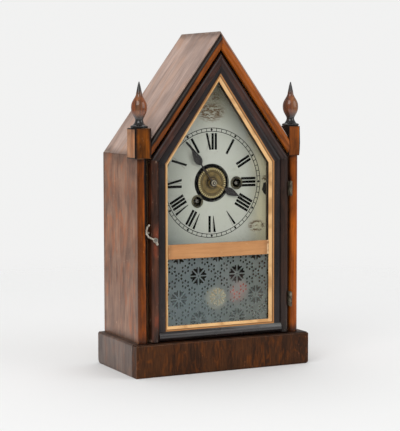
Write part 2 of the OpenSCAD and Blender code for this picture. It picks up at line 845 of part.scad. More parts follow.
// Section of the gilt slip: it slopes back from its outer edge to the glass
module slip_section() {
    polygon([[0, slip_y], [slip_w, slip_y + slip_rise], [slip_w, glass_y], [0, glass_y]]);
}

module gilt_slip() color("goldenrod") {
    both_sides() {
        intersection() {
            translate([slip_x, 0, 0]) mirror([1, 0, 0]) linear_extrude(ridge_z) slip_section();
            slab(slip_y - 1, glass_y) polygon(side_run);
        }
        intersection() {
            along(slip_apex, slip_slope) slip_section();
            slab(slip_y - 1, glass_y) polygon(gable_run);
        }
    }
    intersection() {
        translate([-slip_x, 0, slip_foot]) rotate([90, 0, 90]) linear_extrude(2 * slip_x)
            rotate([0, 0, 90]) mirror([0, 1]) slip_section();
        slab(slip_y - 1, glass_y) polygon(foot_run);
    }
}

module crossbar() color("peru") translate([-sight_x, glass_y - 1.6, crossbar_z])
    cube([2 * sight_x, 1.6, crossbar_h]);

glass_split = crossbar_z + crossbar_h / 2;

module upper_glass() color("lightblue", 0.3) slab(glass_y, ledge_y) {
    half = slip_x - glass_play;
    foot = glass_split + glass_play;
    shoulder = slip_z(half, glass_play);
    polygon([[-half, foot], [-half, shoulder], [0, slip_z(0, glass_play)], [half, shoulder], [half, foot]]);
}

module lower_glass() color("slategray", 0.6)
    translate([glass_play - slip_x, glass_y, slip_foot + glass_play])
        cube([2 * (slip_x - glass_play), glass_t, glass_split - slip_foot - 2 * glass_play]);

// Hinges: three knuckles each, the middle one on the door

knuckle_h = hinge_h / 3;

module knuckle(z, h) {
    translate([hinge_x, hinge_y, z]) cylinder(h = h, r = knuckle_r);
}

module pin_bore(r) {
    for (z = hinge_z) translate([hinge_x, hinge_y, z - hinge_h]) cylinder(h = 2 * hinge_h, r = r);
}

module hinge_case_leaves() color("darkgoldenrod") difference() {
    for (z = hinge_z) {
        for (foot = [z - hinge_h / 2, z + knuckle_h / 2]) {
            knuckle(foot, knuckle_h);
            translate([inner_x - leaf_t, hinge_y, foot]) cube([leaf_t, leaf_depth, knuckle_h]);
        }
        translate([inner_x - leaf_t, hinge_y + knuckle_r + leaf_relief, z - hinge_h / 2])
            cube([leaf_t, leaf_depth - knuckle_r - leaf_relief, hinge_h]);
    }
    pin_bore(hinge_pin_r);
}

module hinge_door_leaves() color("darkgoldenrod") difference() {
    for (z = hinge_z) {
        foot = z - knuckle_h / 2 + knuckle_play;
        tall = knuckle_h - 2 * knuckle_play;
        knuckle(foot, tall);
        translate([door_x, hinge_y, foot]) cube([leaf_t, leaf_depth, tall]);
        translate([door_x, hinge_y + knuckle_r + leaf_relief, z - hinge_h / 2])
            cube([leaf_t, leaf_depth - knuckle_r - leaf_relief, hinge_h]);
    }
    pin_bore(hinge_pin_r + running);
}

module hinge_pins() color("goldenrod") for (z = hinge_z)
    translate([hinge_x, hinge_y, z - hinge_h / 2 - hinge_pin_proud])
        cylinder(h = hinge_h + 2 * hinge_pin_proud, r = hinge_pin_r);

// Latch: a flat brass hook on the door, open on its inner side, and the pin that it goes round

module catch_pin_bar() {
    bar(catch_at, catch_pin_r, latch_y - latch_t - 0.6, side_y + 5);
}

module catch_pin() color("goldenrod") catch_pin_bar();

module latch_shank() {
    bar(latch_at, latch_shank_r, latch_y - latch_t - 0.2, door_y + 5);
}

module latch_screw() color("gray") {
    latch_shank();
    difference() {
        bar(latch_at, 1.9, latch_y - latch_t - 1.2, latch_y - latch_t - 0.1);
        translate([latch_at[0] - 2.5, latch_y - latch_t - 1.6, latch_z - 0.25]) cube([5, 0.8, 0.5]);
    }
}

// Flat strip with round ends between two places
module strip(from, to, w, y0, y1) {
    long = norm(to - from);
    bar(from, w / 2, y0, y1);
    bar(to, w / 2, y0, y1);
    translate([from[0], 0, from[1]]) rotate([0, -heading(from, to), 0])
        translate([0, y0, -0.46 * w]) cube([long, y1 - y0, 0.92 * w]);
}

module latch_hook() color("khaki") translate([latch_at[0], 0, latch_at[1]]) {
    outside = latch_reach + catch_pin_r + catch_play + latch_band / 2;
    path = [[0, 0], [0.6 - latch_reach, latch_rise - 4.9], [-outside, latch_rise - 1.5],
        [-outside - 0.2, latch_rise + 2.5], [0.8 - outside, latch_rise + 6.2],
        [0.8 - latch_reach, latch_rise + 8.1]];
    thumb = [2, -4.4];
    y0 = latch_y - latch_t;
    difference() {
        union() {
            bar([0, 0], latch_boss_r, y0, latch_y);
            strip([0, 0], thumb, 2.6, y0, latch_y);
            for (i = [1:len(path) - 1]) strip(path[i - 1], path[i], latch_band, y0, latch_y);
        }
        bar([0, 0], latch_shank_r + running, y0 - 1, latch_y + 1);
    }
}

// Hands

// Blade outline pointing up: a thin stem, a leaf that is widest low down, and a fine point
module blade(stem_w, leaf_from, leaf_to, leaf_w, tip) {
    steps = 14;
    half = [for (i = [1:steps - 1]) let (t = i / steps)
        [leaf_w / 2 * sin(180 * t ^ 0.65) + stem_w / 4, leaf_from + (leaf_to - leaf_from) * t]];
    right = concat([[stem_w / 2, 0], [stem_w / 2, leaf_from]], half, [[stem_w / 3, leaf_to], [0.1, tip]]);
    n = len(right);
    polygon(concat(right, [for (i = [n - 1:-1:0]) [-right[i][0], right[i][1]]]));
}

module hand(angle, y, boss_r, bore_r) {
    at_dial([0, 0]) rotate([0, angle, 0]) slab(y, y + hand_t) difference() {
        union() {
            children();
            circle(r = boss_r);
        }
        circle(r = bore_r);
    }
}

module minute_hand() color("black") hand(minute_angle, minute_hand_y, 3.4, minute_seat_r)
    blade(1.5, 25.5, 45, 8.6, minute_hand_r);

module hour_hand() color("black") hand(hour_angle, hour_hand_y, 5.2, hour_pipe_r)
    blade(1.8, 17.5, 36, 7.8, hour_hand_r);

minute_seat_r = 1.3;
washer_r = 4.4;
washer_t = 0.9;
collet_r = 2.8;
collet_t = 1.6;

// Wheels

// Outline with n straight-sided teeth: root and tip radii, half widths there
module toothed(n, root, tip, root_half, tip_half) {
    function at(r, a) = r * [cos(a), sin(a)];
    dr = root_half / root * 180 / PI;
    dt = tip_half / tip * 180 / PI;
    polygon([for (i = [0:n - 1]) let (a = 360 * i / n)
        each [at(root, a - dr), at(tip, a - dt), at(tip, a + dt), at(root, a + dr)]]);
}

// Wheel whose first tooth points at turn degrees, with crossings cut out of it
module wheel(n, m, turn, y0, y1, bore, hub_r) {
    pitch = n * m / 2;
    slab(y0, y1) difference() {
        rotate(turn) toothed(n, pitch - tooth_root * m, pitch + tooth_tip * m, tooth_root_half * m,
            tooth_tip_half * m);
        circle(r = bore);
        rim = pitch - 4 * m - 1;
        if (rim - hub_r > 3) for (a = [0:90:270]) rotate(a + 45) intersection() {
            difference() {
                circle(r = rim);
                circle(r = hub_r);
            }
            polygon([[hub_r, 0] * 0.9, [rim * 2, rim * 1.6], [rim * 2, -rim * 1.6]]);
        }
    }
}

tooth_root = 1.5;
tooth_tip = 0.95;
tooth_root_half = 0.8;
tooth_tip_half = 0.28;
trundle = 0.42;

// Lantern pinion: bars held between two discs, with a bar at turn degrees
module lantern(n, m, turn, y0, y1, cap_t, core_r) {
    pitch = n * m / 2;
    for (y = [[y0, y0 + cap_t], [y1 - cap_t, y1]]) slab(y[0], y[1]) difference() {
        circle(r = pitch + trundle * m + 0.3);
        circle(r = core_r);
    }
    slab(y0 + cap_t / 2, y1 - cap_t / 2) for (i = [0:n - 1]) rotate(turn + 360 * i / n)
        translate([pitch, 0]) circle(r = trundle * m, $fn = 8);
}

// Direction from one place to another
function heading(from, to) = atan2(to[1] - from[1], to[0] - from[0]);

centre_wheel_y = plate_inside + 11.8;
third_wheel_y = plate_inside + 5.8;
escape_wheel_y = plate_inside + 1.4;
main_wheel_y = plate_inside + 27;
wheel_t = 1;

module centre_arbor() color("silver") at_dial([0, 0]) {
    bar([0, 0], arbor_r, plate_inside - 0.1, back_inside);
    bar([0, 0], pivot_r, back_inside - 0.1, back_plate_y);
    bar([0, 0], cannon_r, hour_hand_y - 0.3, plate_inside);
    bar([0, 0], minute_seat_r, minute_hand_y - washer_t - collet_t - 0.4, hour_hand_y);
    bar([0, 0], washer_r, minute_hand_y - washer_t, minute_hand_y);
    bar([0, 0], collet_r, minute_hand_y - washer_t - collet_t, minute_hand_y - washer_t + 0.1);
    lantern(centre_leaves, main_m, heading([0, 0], time_at), main_wheel_y - 1.8,
        main_wheel_y + wheel_t + 1.8, 0.8, arbor_r);
    lantern(cannon_leaves, cannon_m, heading([0, 0], motion_at), cannon_y, cannon_y + 2.9, 0.45, cannon_r);
}

module centre_wheel() color("goldenrod") at_dial([0, 0])
    wheel(centre_teeth, centre_m, heading([0, 0], third_at) + 180 / centre_teeth, centre_wheel_y,
        centre_wheel_y + wheel_t, arbor_r, 4);

// Motion work planes
hour_wheel_y = dial_back_y + 1.3;
minute_wheel_y = hour_wheel_y + 3;
cannon_y = minute_wheel_y - 0.95;
minute_pinion_y = dial_back_y + 0.5;
motion_t = 1;

module hour_wheel() color("goldenrod") at_dial([0, 0]) {
    difference() {
        bar([0, 0], hour_pipe_r, hour_hand_y - 0.15, hour_wheel_y + motion_t + 0.3);
        bar([0, 0], cannon_r + running, hour_hand_y - 1, hour_wheel_y + motion_t + 1);
    }
    wheel(hour_teeth, motion_m, heading([0, 0], motion_at) + 180 / hour_teeth, hour_wheel_y,
        hour_wheel_y + motion_t, hour_pipe_r, 5);
}

module alarm_disc() color("gold") at_dial([0, 0]) {
    slab(alarm_disc_y, alarm_disc_y + 0.7) difference() {
        toothed(alarm_scallops, alarm_disc_r - 0.7, alarm_disc_r, 0.7, 0.35);
        circle(r = hour_pipe_r + running);
    }
    difference() {
        bar([0, 0], 5, alarm_disc_y + 0.6, alarm_disc_y + 1.8);
        bar([0, 0], hour_pipe_r + running, alarm_disc_y, alarm_disc_y + 3);
    }
}

module minute_wheel() color("goldenrod") at_dial(motion_at) {
    back = heading(motion_at, [0, 0]);
    difference() {
        bar([0, 0], motion_stud_r + 0.6, minute_pinion_y + 0.2, minute_wheel_y + motion_t + 0.6);
        bar([0, 0], motion_stud_r + running, minute_pinion_y - 1, minute_wheel_y + motion_t + 2);
    }
    wheel(minute_teeth, cannon_m, back + 180 / minute_teeth, minute_wheel_y, minute_wheel_y + motion_t,
        motion_stud_r + 0.6, 4);
    lantern(minute_leaves, motion_m, back, minute_pinion_y, minute_pinion_y + 2.6, 0.4, motion_stud_r + 0.6);
}

time_ratchet_r = 8.6;
alarm_ratchet_r = 8;
ratchet_gap = 0.3;
ratchet_t = 1.2;
ratchet_teeth = 16;
ratchet_tooth = 1.3;
ratchet_lead = 9;
time_ratchet_y = main_wheel_y - ratchet_t - ratchet_gap;
alarm_ratchet_y = spring_y[1] + 2;
click_w = 1.4;
click_h = 6;

module main_wheel() color("goldenrod") at_dial(time_at) {
    wheel(main_teeth, main_m, heading(time_at, [0, 0]) + 180 / main_teeth, main_wheel_y,
        main_wheel_y + wheel_t, winding_r + running, 8);
    translate([time_ratchet_r + 1, main_wheel_y - click_w + 0.1, -click_h / 3])
        cube([click_w, click_w, click_h]);
}

// Winding arbor with its ratchet, its square at the front and a pivot at the back
module winding_arbor(ratchet_y, ratchet_r) {
    bar([0, 0], winding_r, plate_front - 0.5, back_inside - 0.4);
    bar([0, 0], arbor_r, back_inside - 0.5, back_plate_y);
    half = winding_square / 2;
    translate([-half, time_tip_y, -half]) cube([winding_square, plate_front - time_tip_y, winding_square]);
    slab(ratchet_y, ratchet_y + ratchet_t) rotate(ratchet_lead)
        toothed(ratchet_teeth, ratchet_r - ratchet_tooth, ratchet_r, 1, 0.2);
}

module time_arbor() color("silver") at_dial(time_at) winding_arbor(time_ratchet_y, time_ratchet_r);

module alarm_arbor() color("silver") at_dial(alarm_at) winding_arbor(alarm_ratchet_y, alarm_ratchet_r);

module third_wheel() color("goldenrod") at_dial(third_at) {
    bar([0, 0], thin_arbor_r, plate_inside + 0.2, back_inside - 0.2);
    bar([0, 0], pivot_r, plate_front, back_plate_y);
    wheel(third_teeth, third_m, heading(third_at, escape_at) + 180 / third_teeth, third_wheel_y,
        third_wheel_y + wheel_t, thin_arbor_r - 0.05, 3);
    lantern(third_leaves, centre_m, heading(third_at, [0, 0]), centre_wheel_y - 1.3,
        centre_wheel_y + wheel_t + 1.3, 0.5, thin_arbor_r - 0.05);
}

escape_tooth = 1.8;
escape_root_half = 0.75;
escape_window_at = 4.2;
escape_window_r = 1.7;

module escape_wheel() color("gold") at_dial(escape_at) {
    root = escape_r - escape_tooth;
    bar([0, 0], fine_pivot_r + 0.15, plate_inside + 0.2, back_inside - 0.2);
    bar([0, 0], fine_pivot_r, plate_front, back_plate_y);
    slab(escape_wheel_y, escape_wheel_y + 0.8) difference() {
        union() for (i = [0:escape_teeth - 1]) rotate(360 * i / escape_teeth)
            polygon([[0, 0], [root, -escape_root_half], [escape_r, 0.35], [escape_r, 0.6],
                [root, escape_root_half]]);
        for (a = [0:90:270]) rotate(a) translate([escape_window_at, 0]) circle(r = escape_window_r);
    }
    lantern(escape_leaves, third_m, heading(escape_at, third_at), third_wheel_y - 1.3,
        third_wheel_y + wheel_t + 1.3, 0.4, fine_pivot_r + 0.1);
}

// Verge: its arbor, two pallets that straddle the escape wheel, and the crutch with its fork on the rod
pallet_reach = 7.9;
pallet_drop = 4.7;
pallet_w = 0.7;
crutch_l = 26;
crutch_y = plate_front - 1.6;
fork_play = 0.5;

module verge() color("lightgray") at_dial(verge_at) {
    bar([0, 0], thin_arbor_r, crutch_y, back_inside - 0.2);
    bar([0, 0], pivot_r, back_inside - 0.3, back_plate_y);
    slab(escape_wheel_y - 0.4, escape_wheel_y + 1.2) {
        circle(r = 1.8);
        for (s = [-1, 1]) polygon([[0, 1.5], [s * (pallet_reach - 0.4), -1.6],
            [s * pallet_reach, -pallet_drop], [s * (pallet_reach - pallet_w), -pallet_drop],
            [s * (pallet_reach - 1.3), -2.2], [0, -0.6]]);
    }
    slab(crutch_y, crutch_y + 0.8) {
        circle(r = 2.2);
        translate([-0.7, -crutch_l]) square([1.4, crutch_l]);
        translate([-2.2, -crutch_l - 1]) square([4.4, 1.4]);
    }
    for (s = [-1, 1]) translate([s * (rod_r + fork_play + 0.4) - 0.4, rod_y - rod_r - 0.3, -crutch_l - 1])
        cube([0.8, crutch_y - rod_y + rod_r + 0.5, 1.4]);
}

module pendulum_rod() color("silver") at_dial(verge_at) {
    difference() {
        union() {
            bar([0, 0], 1.8, rod_y - 0.6, rod_y + 0.6);
            translate([0, rod_y, -pendulum_l + bob_r - 2]) cylinder(h = pendulum_l - bob_r + 1, r = rod_r);
        }
        bar([0, 0], suspension_r + running, rod_y - 2, rod_y + 2);
    }
}

module pendulum_bob() color("khaki") at_dial(verge_at) translate([0, rod_y, -pendulum_l]) difference() {
    union() {
        intersection() {
            bar([0, 0], bob_r, -bob_t / 2, bob_t / 2);
            for (s = [-1, 1]) translate([0, s * bob_sag, 0]) sphere(r = bob_dome, $fn = 96);
        }
        bar([0, 0], bob_r, -bob_edge / 2, bob_edge / 2);
    }
    cylinder(h = bob_r + 1, r = rod_r);
}

bob_edge = 2.4;
bob_rise = (bob_t - bob_edge) / 2;
bob_dome = (bob_r ^ 2 + bob_rise ^ 2) / (2 * bob_rise);
bob_sag = bob_dome - bob_t / 2;

// Hammer: its head rests just clear of the bell's rim and swings away from it
hammer_plane = bell_rim_y - 3;
bell_from_dial = bell_at - [0, dial_z];
hammer_turn = 112;
hammer_head_l = 6;
hammer_arm_r = 0.8;
hammer_hub_r = 2.4;
hammer_head = bell_from_dial + (bell_r + hammer_head_r + hammer_gap) * [cos(hammer_turn), sin(hammer_turn)];

module alarm_hammer() color("lightgray") {
    at_dial(hammer_at) {
        bar([0, 0], 1.2, plate_inside + 0.2, back_inside - 0.2);
        bar([0, 0], pivot_r, plate_front, back_plate_y);
        bar([0, 0], hammer_hub_r, hammer_plane - 1.2, hammer_plane + 1.2);
    }
    arm = hammer_head - hammer_at;
    at_dial(hammer_at) translate([0, hammer_plane, 0]) rotate([0, 90 - atan2(arm[1], arm[0]), 0])
        cylinder(h = norm(arm), r = hammer_arm_r);
    at_dial(hammer_head)
        bar([0, 0], hammer_head_r, hammer_plane - hammer_head_l / 2, hammer_plane + hammer_head_l / 2);
}

side_left();
side_right();
roof_left();
roof_right();
backboard();
floor_board();
base_front();
base_side_left();
base_side_right();
pilaster_left();
pilaster_right();
gable_moulding_left();
gable_moulding_right();
capital_left();
capital_right();
finials();
dial_rails();
dial();
dial_pins();
winding_grommets();
movement_blocks();
front_plate();
back_plate();
plate_pillars();
movement_screws();
suspension_post();
mainsprings();
alarm_bell();
bell_post();
hinge_case_leaves();
hinge_pins();
catch_pin();
door_stile_left();
door_stile_right();
door_rail_bottom();
door_gable_left();
door_gable_right();
gilt_slip();
crossbar();
upper_glass();
lower_glass();
hinge_door_leaves();
latch_screw();
latch_hook();
minute_hand();
centre_arbor();
centre_wheel();
hour_hand();
hour_wheel();
alarm_disc();
minute_wheel();
main_wheel();
time_arbor();
third_wheel();
escape_wheel();
verge();
pendulum_rod();
pendulum_bob();
alarm_arbor();
alarm_hammer();
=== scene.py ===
"""Dresses the table clock: veneered case, painted dial, etched glass and brass work on a pale floor."""
from __future__ import annotations

import json
import logging
import math
from dataclasses import dataclass, replace
from enum import Enum
from typing import Any, Callable, ClassVar, Sequence

import bmesh
import bpy
from mathutils import Matrix, Vector

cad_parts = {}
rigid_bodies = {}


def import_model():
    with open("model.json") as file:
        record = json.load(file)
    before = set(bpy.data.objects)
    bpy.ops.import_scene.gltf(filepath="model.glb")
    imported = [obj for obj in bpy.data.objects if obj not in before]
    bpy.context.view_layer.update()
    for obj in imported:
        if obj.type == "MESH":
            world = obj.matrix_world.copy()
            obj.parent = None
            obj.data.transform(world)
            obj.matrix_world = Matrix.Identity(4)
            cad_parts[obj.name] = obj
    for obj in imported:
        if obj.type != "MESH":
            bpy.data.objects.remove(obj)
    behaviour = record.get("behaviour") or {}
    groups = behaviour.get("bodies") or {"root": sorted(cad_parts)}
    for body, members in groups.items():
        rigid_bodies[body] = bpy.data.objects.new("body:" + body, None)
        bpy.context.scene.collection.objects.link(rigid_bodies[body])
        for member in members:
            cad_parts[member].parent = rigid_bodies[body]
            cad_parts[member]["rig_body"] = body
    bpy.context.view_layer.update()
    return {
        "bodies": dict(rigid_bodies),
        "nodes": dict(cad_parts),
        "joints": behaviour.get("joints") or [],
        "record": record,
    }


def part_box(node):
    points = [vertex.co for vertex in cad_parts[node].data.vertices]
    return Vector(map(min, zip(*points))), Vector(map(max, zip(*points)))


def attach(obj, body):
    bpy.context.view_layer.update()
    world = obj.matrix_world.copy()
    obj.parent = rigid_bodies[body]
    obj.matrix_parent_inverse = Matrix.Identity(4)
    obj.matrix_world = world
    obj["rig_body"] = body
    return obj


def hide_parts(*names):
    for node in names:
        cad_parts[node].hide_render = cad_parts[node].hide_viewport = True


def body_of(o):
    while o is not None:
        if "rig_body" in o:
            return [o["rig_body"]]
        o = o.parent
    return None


MM = 0.001
log = logging.getLogger("table_clock")

# A colour is written as it shows on a screen, in hexadecimal, or in linear light with an opacity
Colour = str | tuple[float, float, float, float]
Place = tuple[float, float, float]
Flat = tuple[float, float]


def tone(code: str) -> tuple[float, ...]:
    """Turns a colour as seen on a screen into the linear colour that shaders take.

    Args:
        code: Two hexadecimal digits each for red, green and blue.

    Returns:
        Its red, green and blue, and full opacity.
    """
    def linear(level: int) -> float:
        """One channel in linear light."""
        share = level / 255
        return share / 12.92 if share <= 0.04045 else ((share + 0.055) / 1.055) ** 2.4
    return (*(linear(level) for level in bytes.fromhex(code)), 1.0)


class Slot(Enum):
    """The record's material slots."""

    VENEER = "veneer"
    BASE_VENEER = "base_veneer"
    MOULDING = "moulding"
    EBONISED = "ebonised"
    CAPITAL_VENEER = "capital_veneer"
    TURNED_WOOD = "turned_wood"
    RAW_WOOD = "raw_wood"
    GILT = "gilt"
    TAN_PAINT = "tan_paint"
    DIAL_PAINT = "dial_paint"
    GLASS = "glass"
    ETCHED_GLASS = "etched_glass"
    BRASS = "brass"
    STEEL = "steel"
    BLUED_STEEL = "blued_steel"
    BELL_METAL = "bell_metal"


class Grain(Enum):
    """The way that the grain runs in a board: its direction, and the direction across it."""

    UPRIGHT = ((0, 0, 1), (1, 0, 0))
    SIDE = ((0, 0, 1), (0, 1, 0))
    LEVEL = ((1, 0, 0), (0, 0, 1))
    SLOPE_LEFT = ((0.592, 0, 0.806), (-0.806, 0, 0.592))
    SLOPE_RIGHT = ((-0.592, 0, 0.806), (0.806, 0, 0.592))
    ROOF_LEFT = ((0.592, 0, 0.806), (0, 1, 0))
    ROOF_RIGHT = ((-0.592, 0, 0.806), (0, 1, 0))


class Curve(Enum):
    """The way that a stretch of values is mapped: easing in and out, or straight."""

    SMOOTH = "SMOOTHSTEP"
    STRAIGHT = "LINEAR"


# Node graphs


def step(operation: str) -> Callable[[Value, Any], Value]:
    """A method that adds a node for one kind of arithmetic."""
    return lambda value, other=0.0: value.graph.math(operation, value, other)


class Value:
    """What a node's output gives, which can be reckoned with: each step adds a node to its graph.

    The most and the least are of two values. A wrapped value starts again after each pitch, and a folded one
    goes up and down below it.
    """

    __add__, __sub__, __mul__, __truediv__ = step("ADD"), step("SUBTRACT"), step("MULTIPLY"), step("DIVIDE")
    __abs__, most, least = step("ABSOLUTE"), step("MAXIMUM"), step("MINIMUM")
    wrapped, folded = step("FLOORED_MODULO"), step("PINGPONG")

    def __init__(self, graph: Graph, socket: bpy.types.NodeSocket) -> None:
        """Keeps the output and its graph."""
        self.graph, self.socket = graph, socket

    def __rsub__(self, other: float) -> Value:
        """A number less this value."""
        return self.graph.math("SUBTRACT", other, self)

    def reach(self, other: Value) -> Value:
        """Length of the long side over two legs."""
        return self.graph.math("SQRT", self * self + other * other)

    def turn(self, across: Value) -> Value:
        """Angle of a place this far up and that far across."""
        return self.graph.math("ARCTAN2", self, across)

    def band(self, low: Any, high: Any, bottom: Any = 0.0, top: Any = 1.0, curve: Curve = Curve.SMOOTH) -> Value:
        """Turns the stretch from low to high into bottom to top.

        Args:
            low: Value that becomes bottom.
            high: Value that becomes top.
            bottom: Result at low and below.
            top: Result at high and above.
            curve: The way between them.

        Returns:
            The new value.
        """
        return self.graph.node("ShaderNodeMapRange", {"interpolation_type": curve.value}, Value=self, From_Min=low,
                               From_Max=high, To_Min=bottom, To_Max=top)[0]

    def noise(self, scale: Any, detail: float = 4.0, warp: float = 0.0) -> Value:
        """Cloudy noise at this place, from about 0 to 1."""
        return self.graph.node("ShaderNodeTexNoise", Vector=self, Scale=scale, Detail=detail, Distortion=warp)[0]

    def stretched(self, *factors: float) -> Value:
        """This place scaled along its three axes."""
        return self.graph.vector("MULTIPLY", self, factors)[0]

    def split(self) -> tuple[Value, ...]:
        """The three parts of this place."""
        made = self.graph.node("ShaderNodeSeparateXYZ", Vector=self)
        return made["X"], made["Y"], made["Z"]


class Made:
    """A node with short ways to its sockets."""

    def __init__(self, graph: Graph, node: bpy.types.Node) -> None:
        """Keeps the node and its graph."""
        self.graph, self.node = graph, node

    def __getitem__(self, key: str | int) -> Value:
        """The output of that name or number."""
        return Value(self.graph, self.node.outputs[key])

    def feed(self, **inputs: Any) -> None:
        """Joins inputs to values, or sets them.

        Args:
            inputs: Values by input name, with underscores for spaces, or by number after the letter n.
        """
        for key, value in inputs.items():
            socket = self.node.inputs[int(key[1:]) if key[1:].isdigit() else key.replace("_", " ")]
            if isinstance(value, Value):
                self.graph.tree.links.new(value.socket, socket)
            else:
                socket.default_value = tone(value) if isinstance(value, str) else value


class Graph:
    """Short ways to add nodes to one node tree."""

    def __init__(self, tree: bpy.types.NodeTree) -> None:
        """Keeps the tree that the nodes go to."""
        self.tree = tree

    def node(self, kind: str, settings: dict[str, Any] | None = None, **inputs: Any) -> Made:
        """Adds a node.

        Args:
            kind: Blender's name of the node type.
            settings: Properties of the node, set before its inputs.
            inputs: Values by input name, as Made.feed takes them.

        Returns:
            The new node.
        """
        made = Made(self, self.tree.nodes.new(kind))
        for key, value in (settings or {}).items():
            setattr(made.node, key, value)
        made.feed(**inputs)
        return made

    def math(self, operation: str, first: Any, second: Any = 0.0, clamp: bool = False) -> Value:
        """Arithmetic on two numbers, kept between 0 and 1 if asked for."""
        return self.node("ShaderNodeMath", {"operation": operation, "use_clamp": clamp}, n0=first, n1=second)[0]

    def vector(self, operation: str, first: Any, second: Any = (0.0, 0.0, 0.0)) -> Made:
        """Adds a node for arithmetic on two vectors."""
        return self.node("ShaderNodeVectorMath", {"operation": operation}, n0=first, n1=second)

    def mix(self, share: Any, first: Any, second: Any, blend: str = "MIX") -> Value:
        """Mixes two colours by the share of the second."""
        settings = {"data_type": "RGBA", "blend_type": blend}
        return self.node("ShaderNodeMix", settings, n0=share, n6=first, n7=second)[2]

    def layered(self, base: Any, *layers: tuple[Any, Any]) -> Value:
        """Lays colours over a base one after the other.

        Args:
            base: Colour underneath.
            layers: Pairs of a share and a colour, from the lowest up.

        Returns:
            The colour that they give together.
        """
        for share, colour in layers:
            base = self.mix(share, base, colour)
        return base


SOCKETS = {float: "NodeSocketFloat", int: "NodeSocketInt", tuple: "NodeSocketVector", str: "NodeSocketColor"}
PLACE = (0.0, 0.0, 0.0)
COLOUR = "BCBCBC"


def add_sockets(tree: bpy.types.NodeTree, way: str, values: dict[str, Any]) -> dict[str, Any]:
    """Adds inputs or outputs to a node group, each of its value's kind.

    Args:
        tree: The node group.
        way: INPUT or OUTPUT.
        values: Values by the sockets' names.

    Returns:
        The values by the sockets' identifiers.
    """
    return {tree.interface.new_socket(name, in_out=way, socket_type=SOCKETS[type(value)]).identifier: value
            for name, value in values.items()}


class Effect:
    """A shader node group that is built once and placed in many materials."""

    def __init__(self, name: str, inputs: dict[str, Any], outputs: dict[str, Any],
                 fill: Callable[[Graph, Made, Made], None]) -> None:
        """Keeps the plan of the group.

        Args:
            name: Name of the node group.
            inputs: Input names with a value of their kind, which is what a float starts from.
            outputs: Output names with a value of their kind.
            fill: Adds the nodes, given the graph, the group's inputs and its outputs.
        """
        self.name, self.inputs, self.outputs, self.fill = name, inputs, outputs, fill
        self.tree: bpy.types.NodeTree | None = None

    def build(self) -> bpy.types.NodeTree:
        """Makes the node group the first time that it is asked for.

        Returns:
            The group.
        """
        if self.tree is None:
            self.tree = bpy.data.node_groups.new(self.name, "ShaderNodeTree")
            add_sockets(self.tree, "INPUT", self.inputs)
            add_sockets(self.tree, "OUTPUT", self.outputs)
            graph = Graph(self.tree)
            self.fill(graph, graph.node("NodeGroupInput"), graph.node("NodeGroupOutput"))
        return self.tree

    def place(self, graph: Graph, finish: Finish | None = None, **inputs: Any) -> Made:
        """Places the group in a material's graph.

        Args:
            graph: Graph of the material.
            finish: Finish whose fields feed the inputs of their name, as low_edge feeds Low Edge.
            inputs: Values by input name for the rest, or in place of a field.

        Returns:
            The group's node.
        """
        given = {key: getattr(finish, key.lower().replace(" ", "_"), value) for key, value in self.inputs.items()}
        return graph.node("ShaderNodeGroup", {"node_tree": self.build()}, **{**given, **inputs})


# Stretch of a noise that grain uses, from its hollows to its crests
GRAIN_BAND = (0.34, 0.66)
PORE_TINT = (0.22, 0.18, 0.18, 1.0)


def fill_wood(graph: Graph, given: Made, out: Made) -> None:
    """Broad figure, bands, fine streaks and dark pores that run along the grain, and warm mottled patches.

    Args:
        graph: Graph of the group.
        given: The group's inputs.
        out: The group's outputs.
    """
    place, fineness = given["Place"], given["Fineness"]
    figure = place.stretched(9, 38, 38).noise(1.0, 5.0, 2.0).band(*GRAIN_BAND)
    bands = place.stretched(18, 220, 220).noise(fineness, 4.0, 1.6).band(*GRAIN_BAND)
    streaks = place.stretched(24, 1000, 1000).noise(fineness, 4.0, 0.3).band(*GRAIN_BAND)
    pores = place.stretched(110, 3200, 3200).noise(1.0, 2.0).band(0.6, 0.72)
    mottle = place.stretched(22, 60, 60).noise(fineness, 5.0, 1.4).band(0.46, 0.68)
    wood = graph.mix(figure * 0.42 + bands * 0.36 + streaks * 0.22, given["Dark"], given["Pale"])
    wood = graph.mix(mottle * given["Warmth"] * (bands * 0.6 + 0.4), wood, given["Warm"])
    shade = pores * given["Pores"]
    wood = graph.mix(shade, wood, graph.mix(1.0, wood, PORE_TINT, "MULTIPLY"))
    out.feed(Colour=wood, Height=streaks * 0.4 - shade)


def fill_edge_grime_shade_sheen(graph: Graph, given: Made, out: Made) -> None:
    """A colour along a piece's edges and ends, and rubbed spots on its very edges. The colour is soiling on most
    finishes, partly painted shade on the pilasters' inner edges, and a painted sheen on the bottom rail.

    The span runs from -1 to 1 along, across and through the piece, so on an edge two of its parts are near 1.

    Args:
        graph: Graph of the group.
        given: The group's inputs.
        out: The group's outputs.
    """
    along, across, through = given["Span"].split()
    wobble = given["Place"].noise(34.0, 5.0, 0.6)
    fine = given["Place"].noise(240.0, 4.0, 0.5)
    drift = (wobble - 0.5) * 0.7
    start = given["Start"] + along * given["Taper"]
    full = start + 0.4
    # Masks of the edge colour on the high edge, the low edge and the ends: soiling on most finishes, partly painted
    # shade on the pilasters, a painted sheen on the bottom rail
    high = (across + drift).band(start, full) * given["High Edge"]
    low = (drift - across).band(start, full) * given["Low Edge"]
    ends = (abs(along) + drift * 0.35).band(0.86, 1.02) * given["Ends"]
    grimed_shaded_colour = graph.mix(high.most(low).most(ends), given["Colour"], given["Dirt"])
    a, b, c = abs(along), abs(across), abs(through)
    second = a.least(b).most(b.least(c).most(a.least(c)))
    spots = (wobble * 0.5 + fine * 0.5).band(0.5, 0.58)
    out.feed(Colour=grimed_shaded_colour, Rubbed=second.band(0.955, 0.985) * spots * given["Rubbing"])


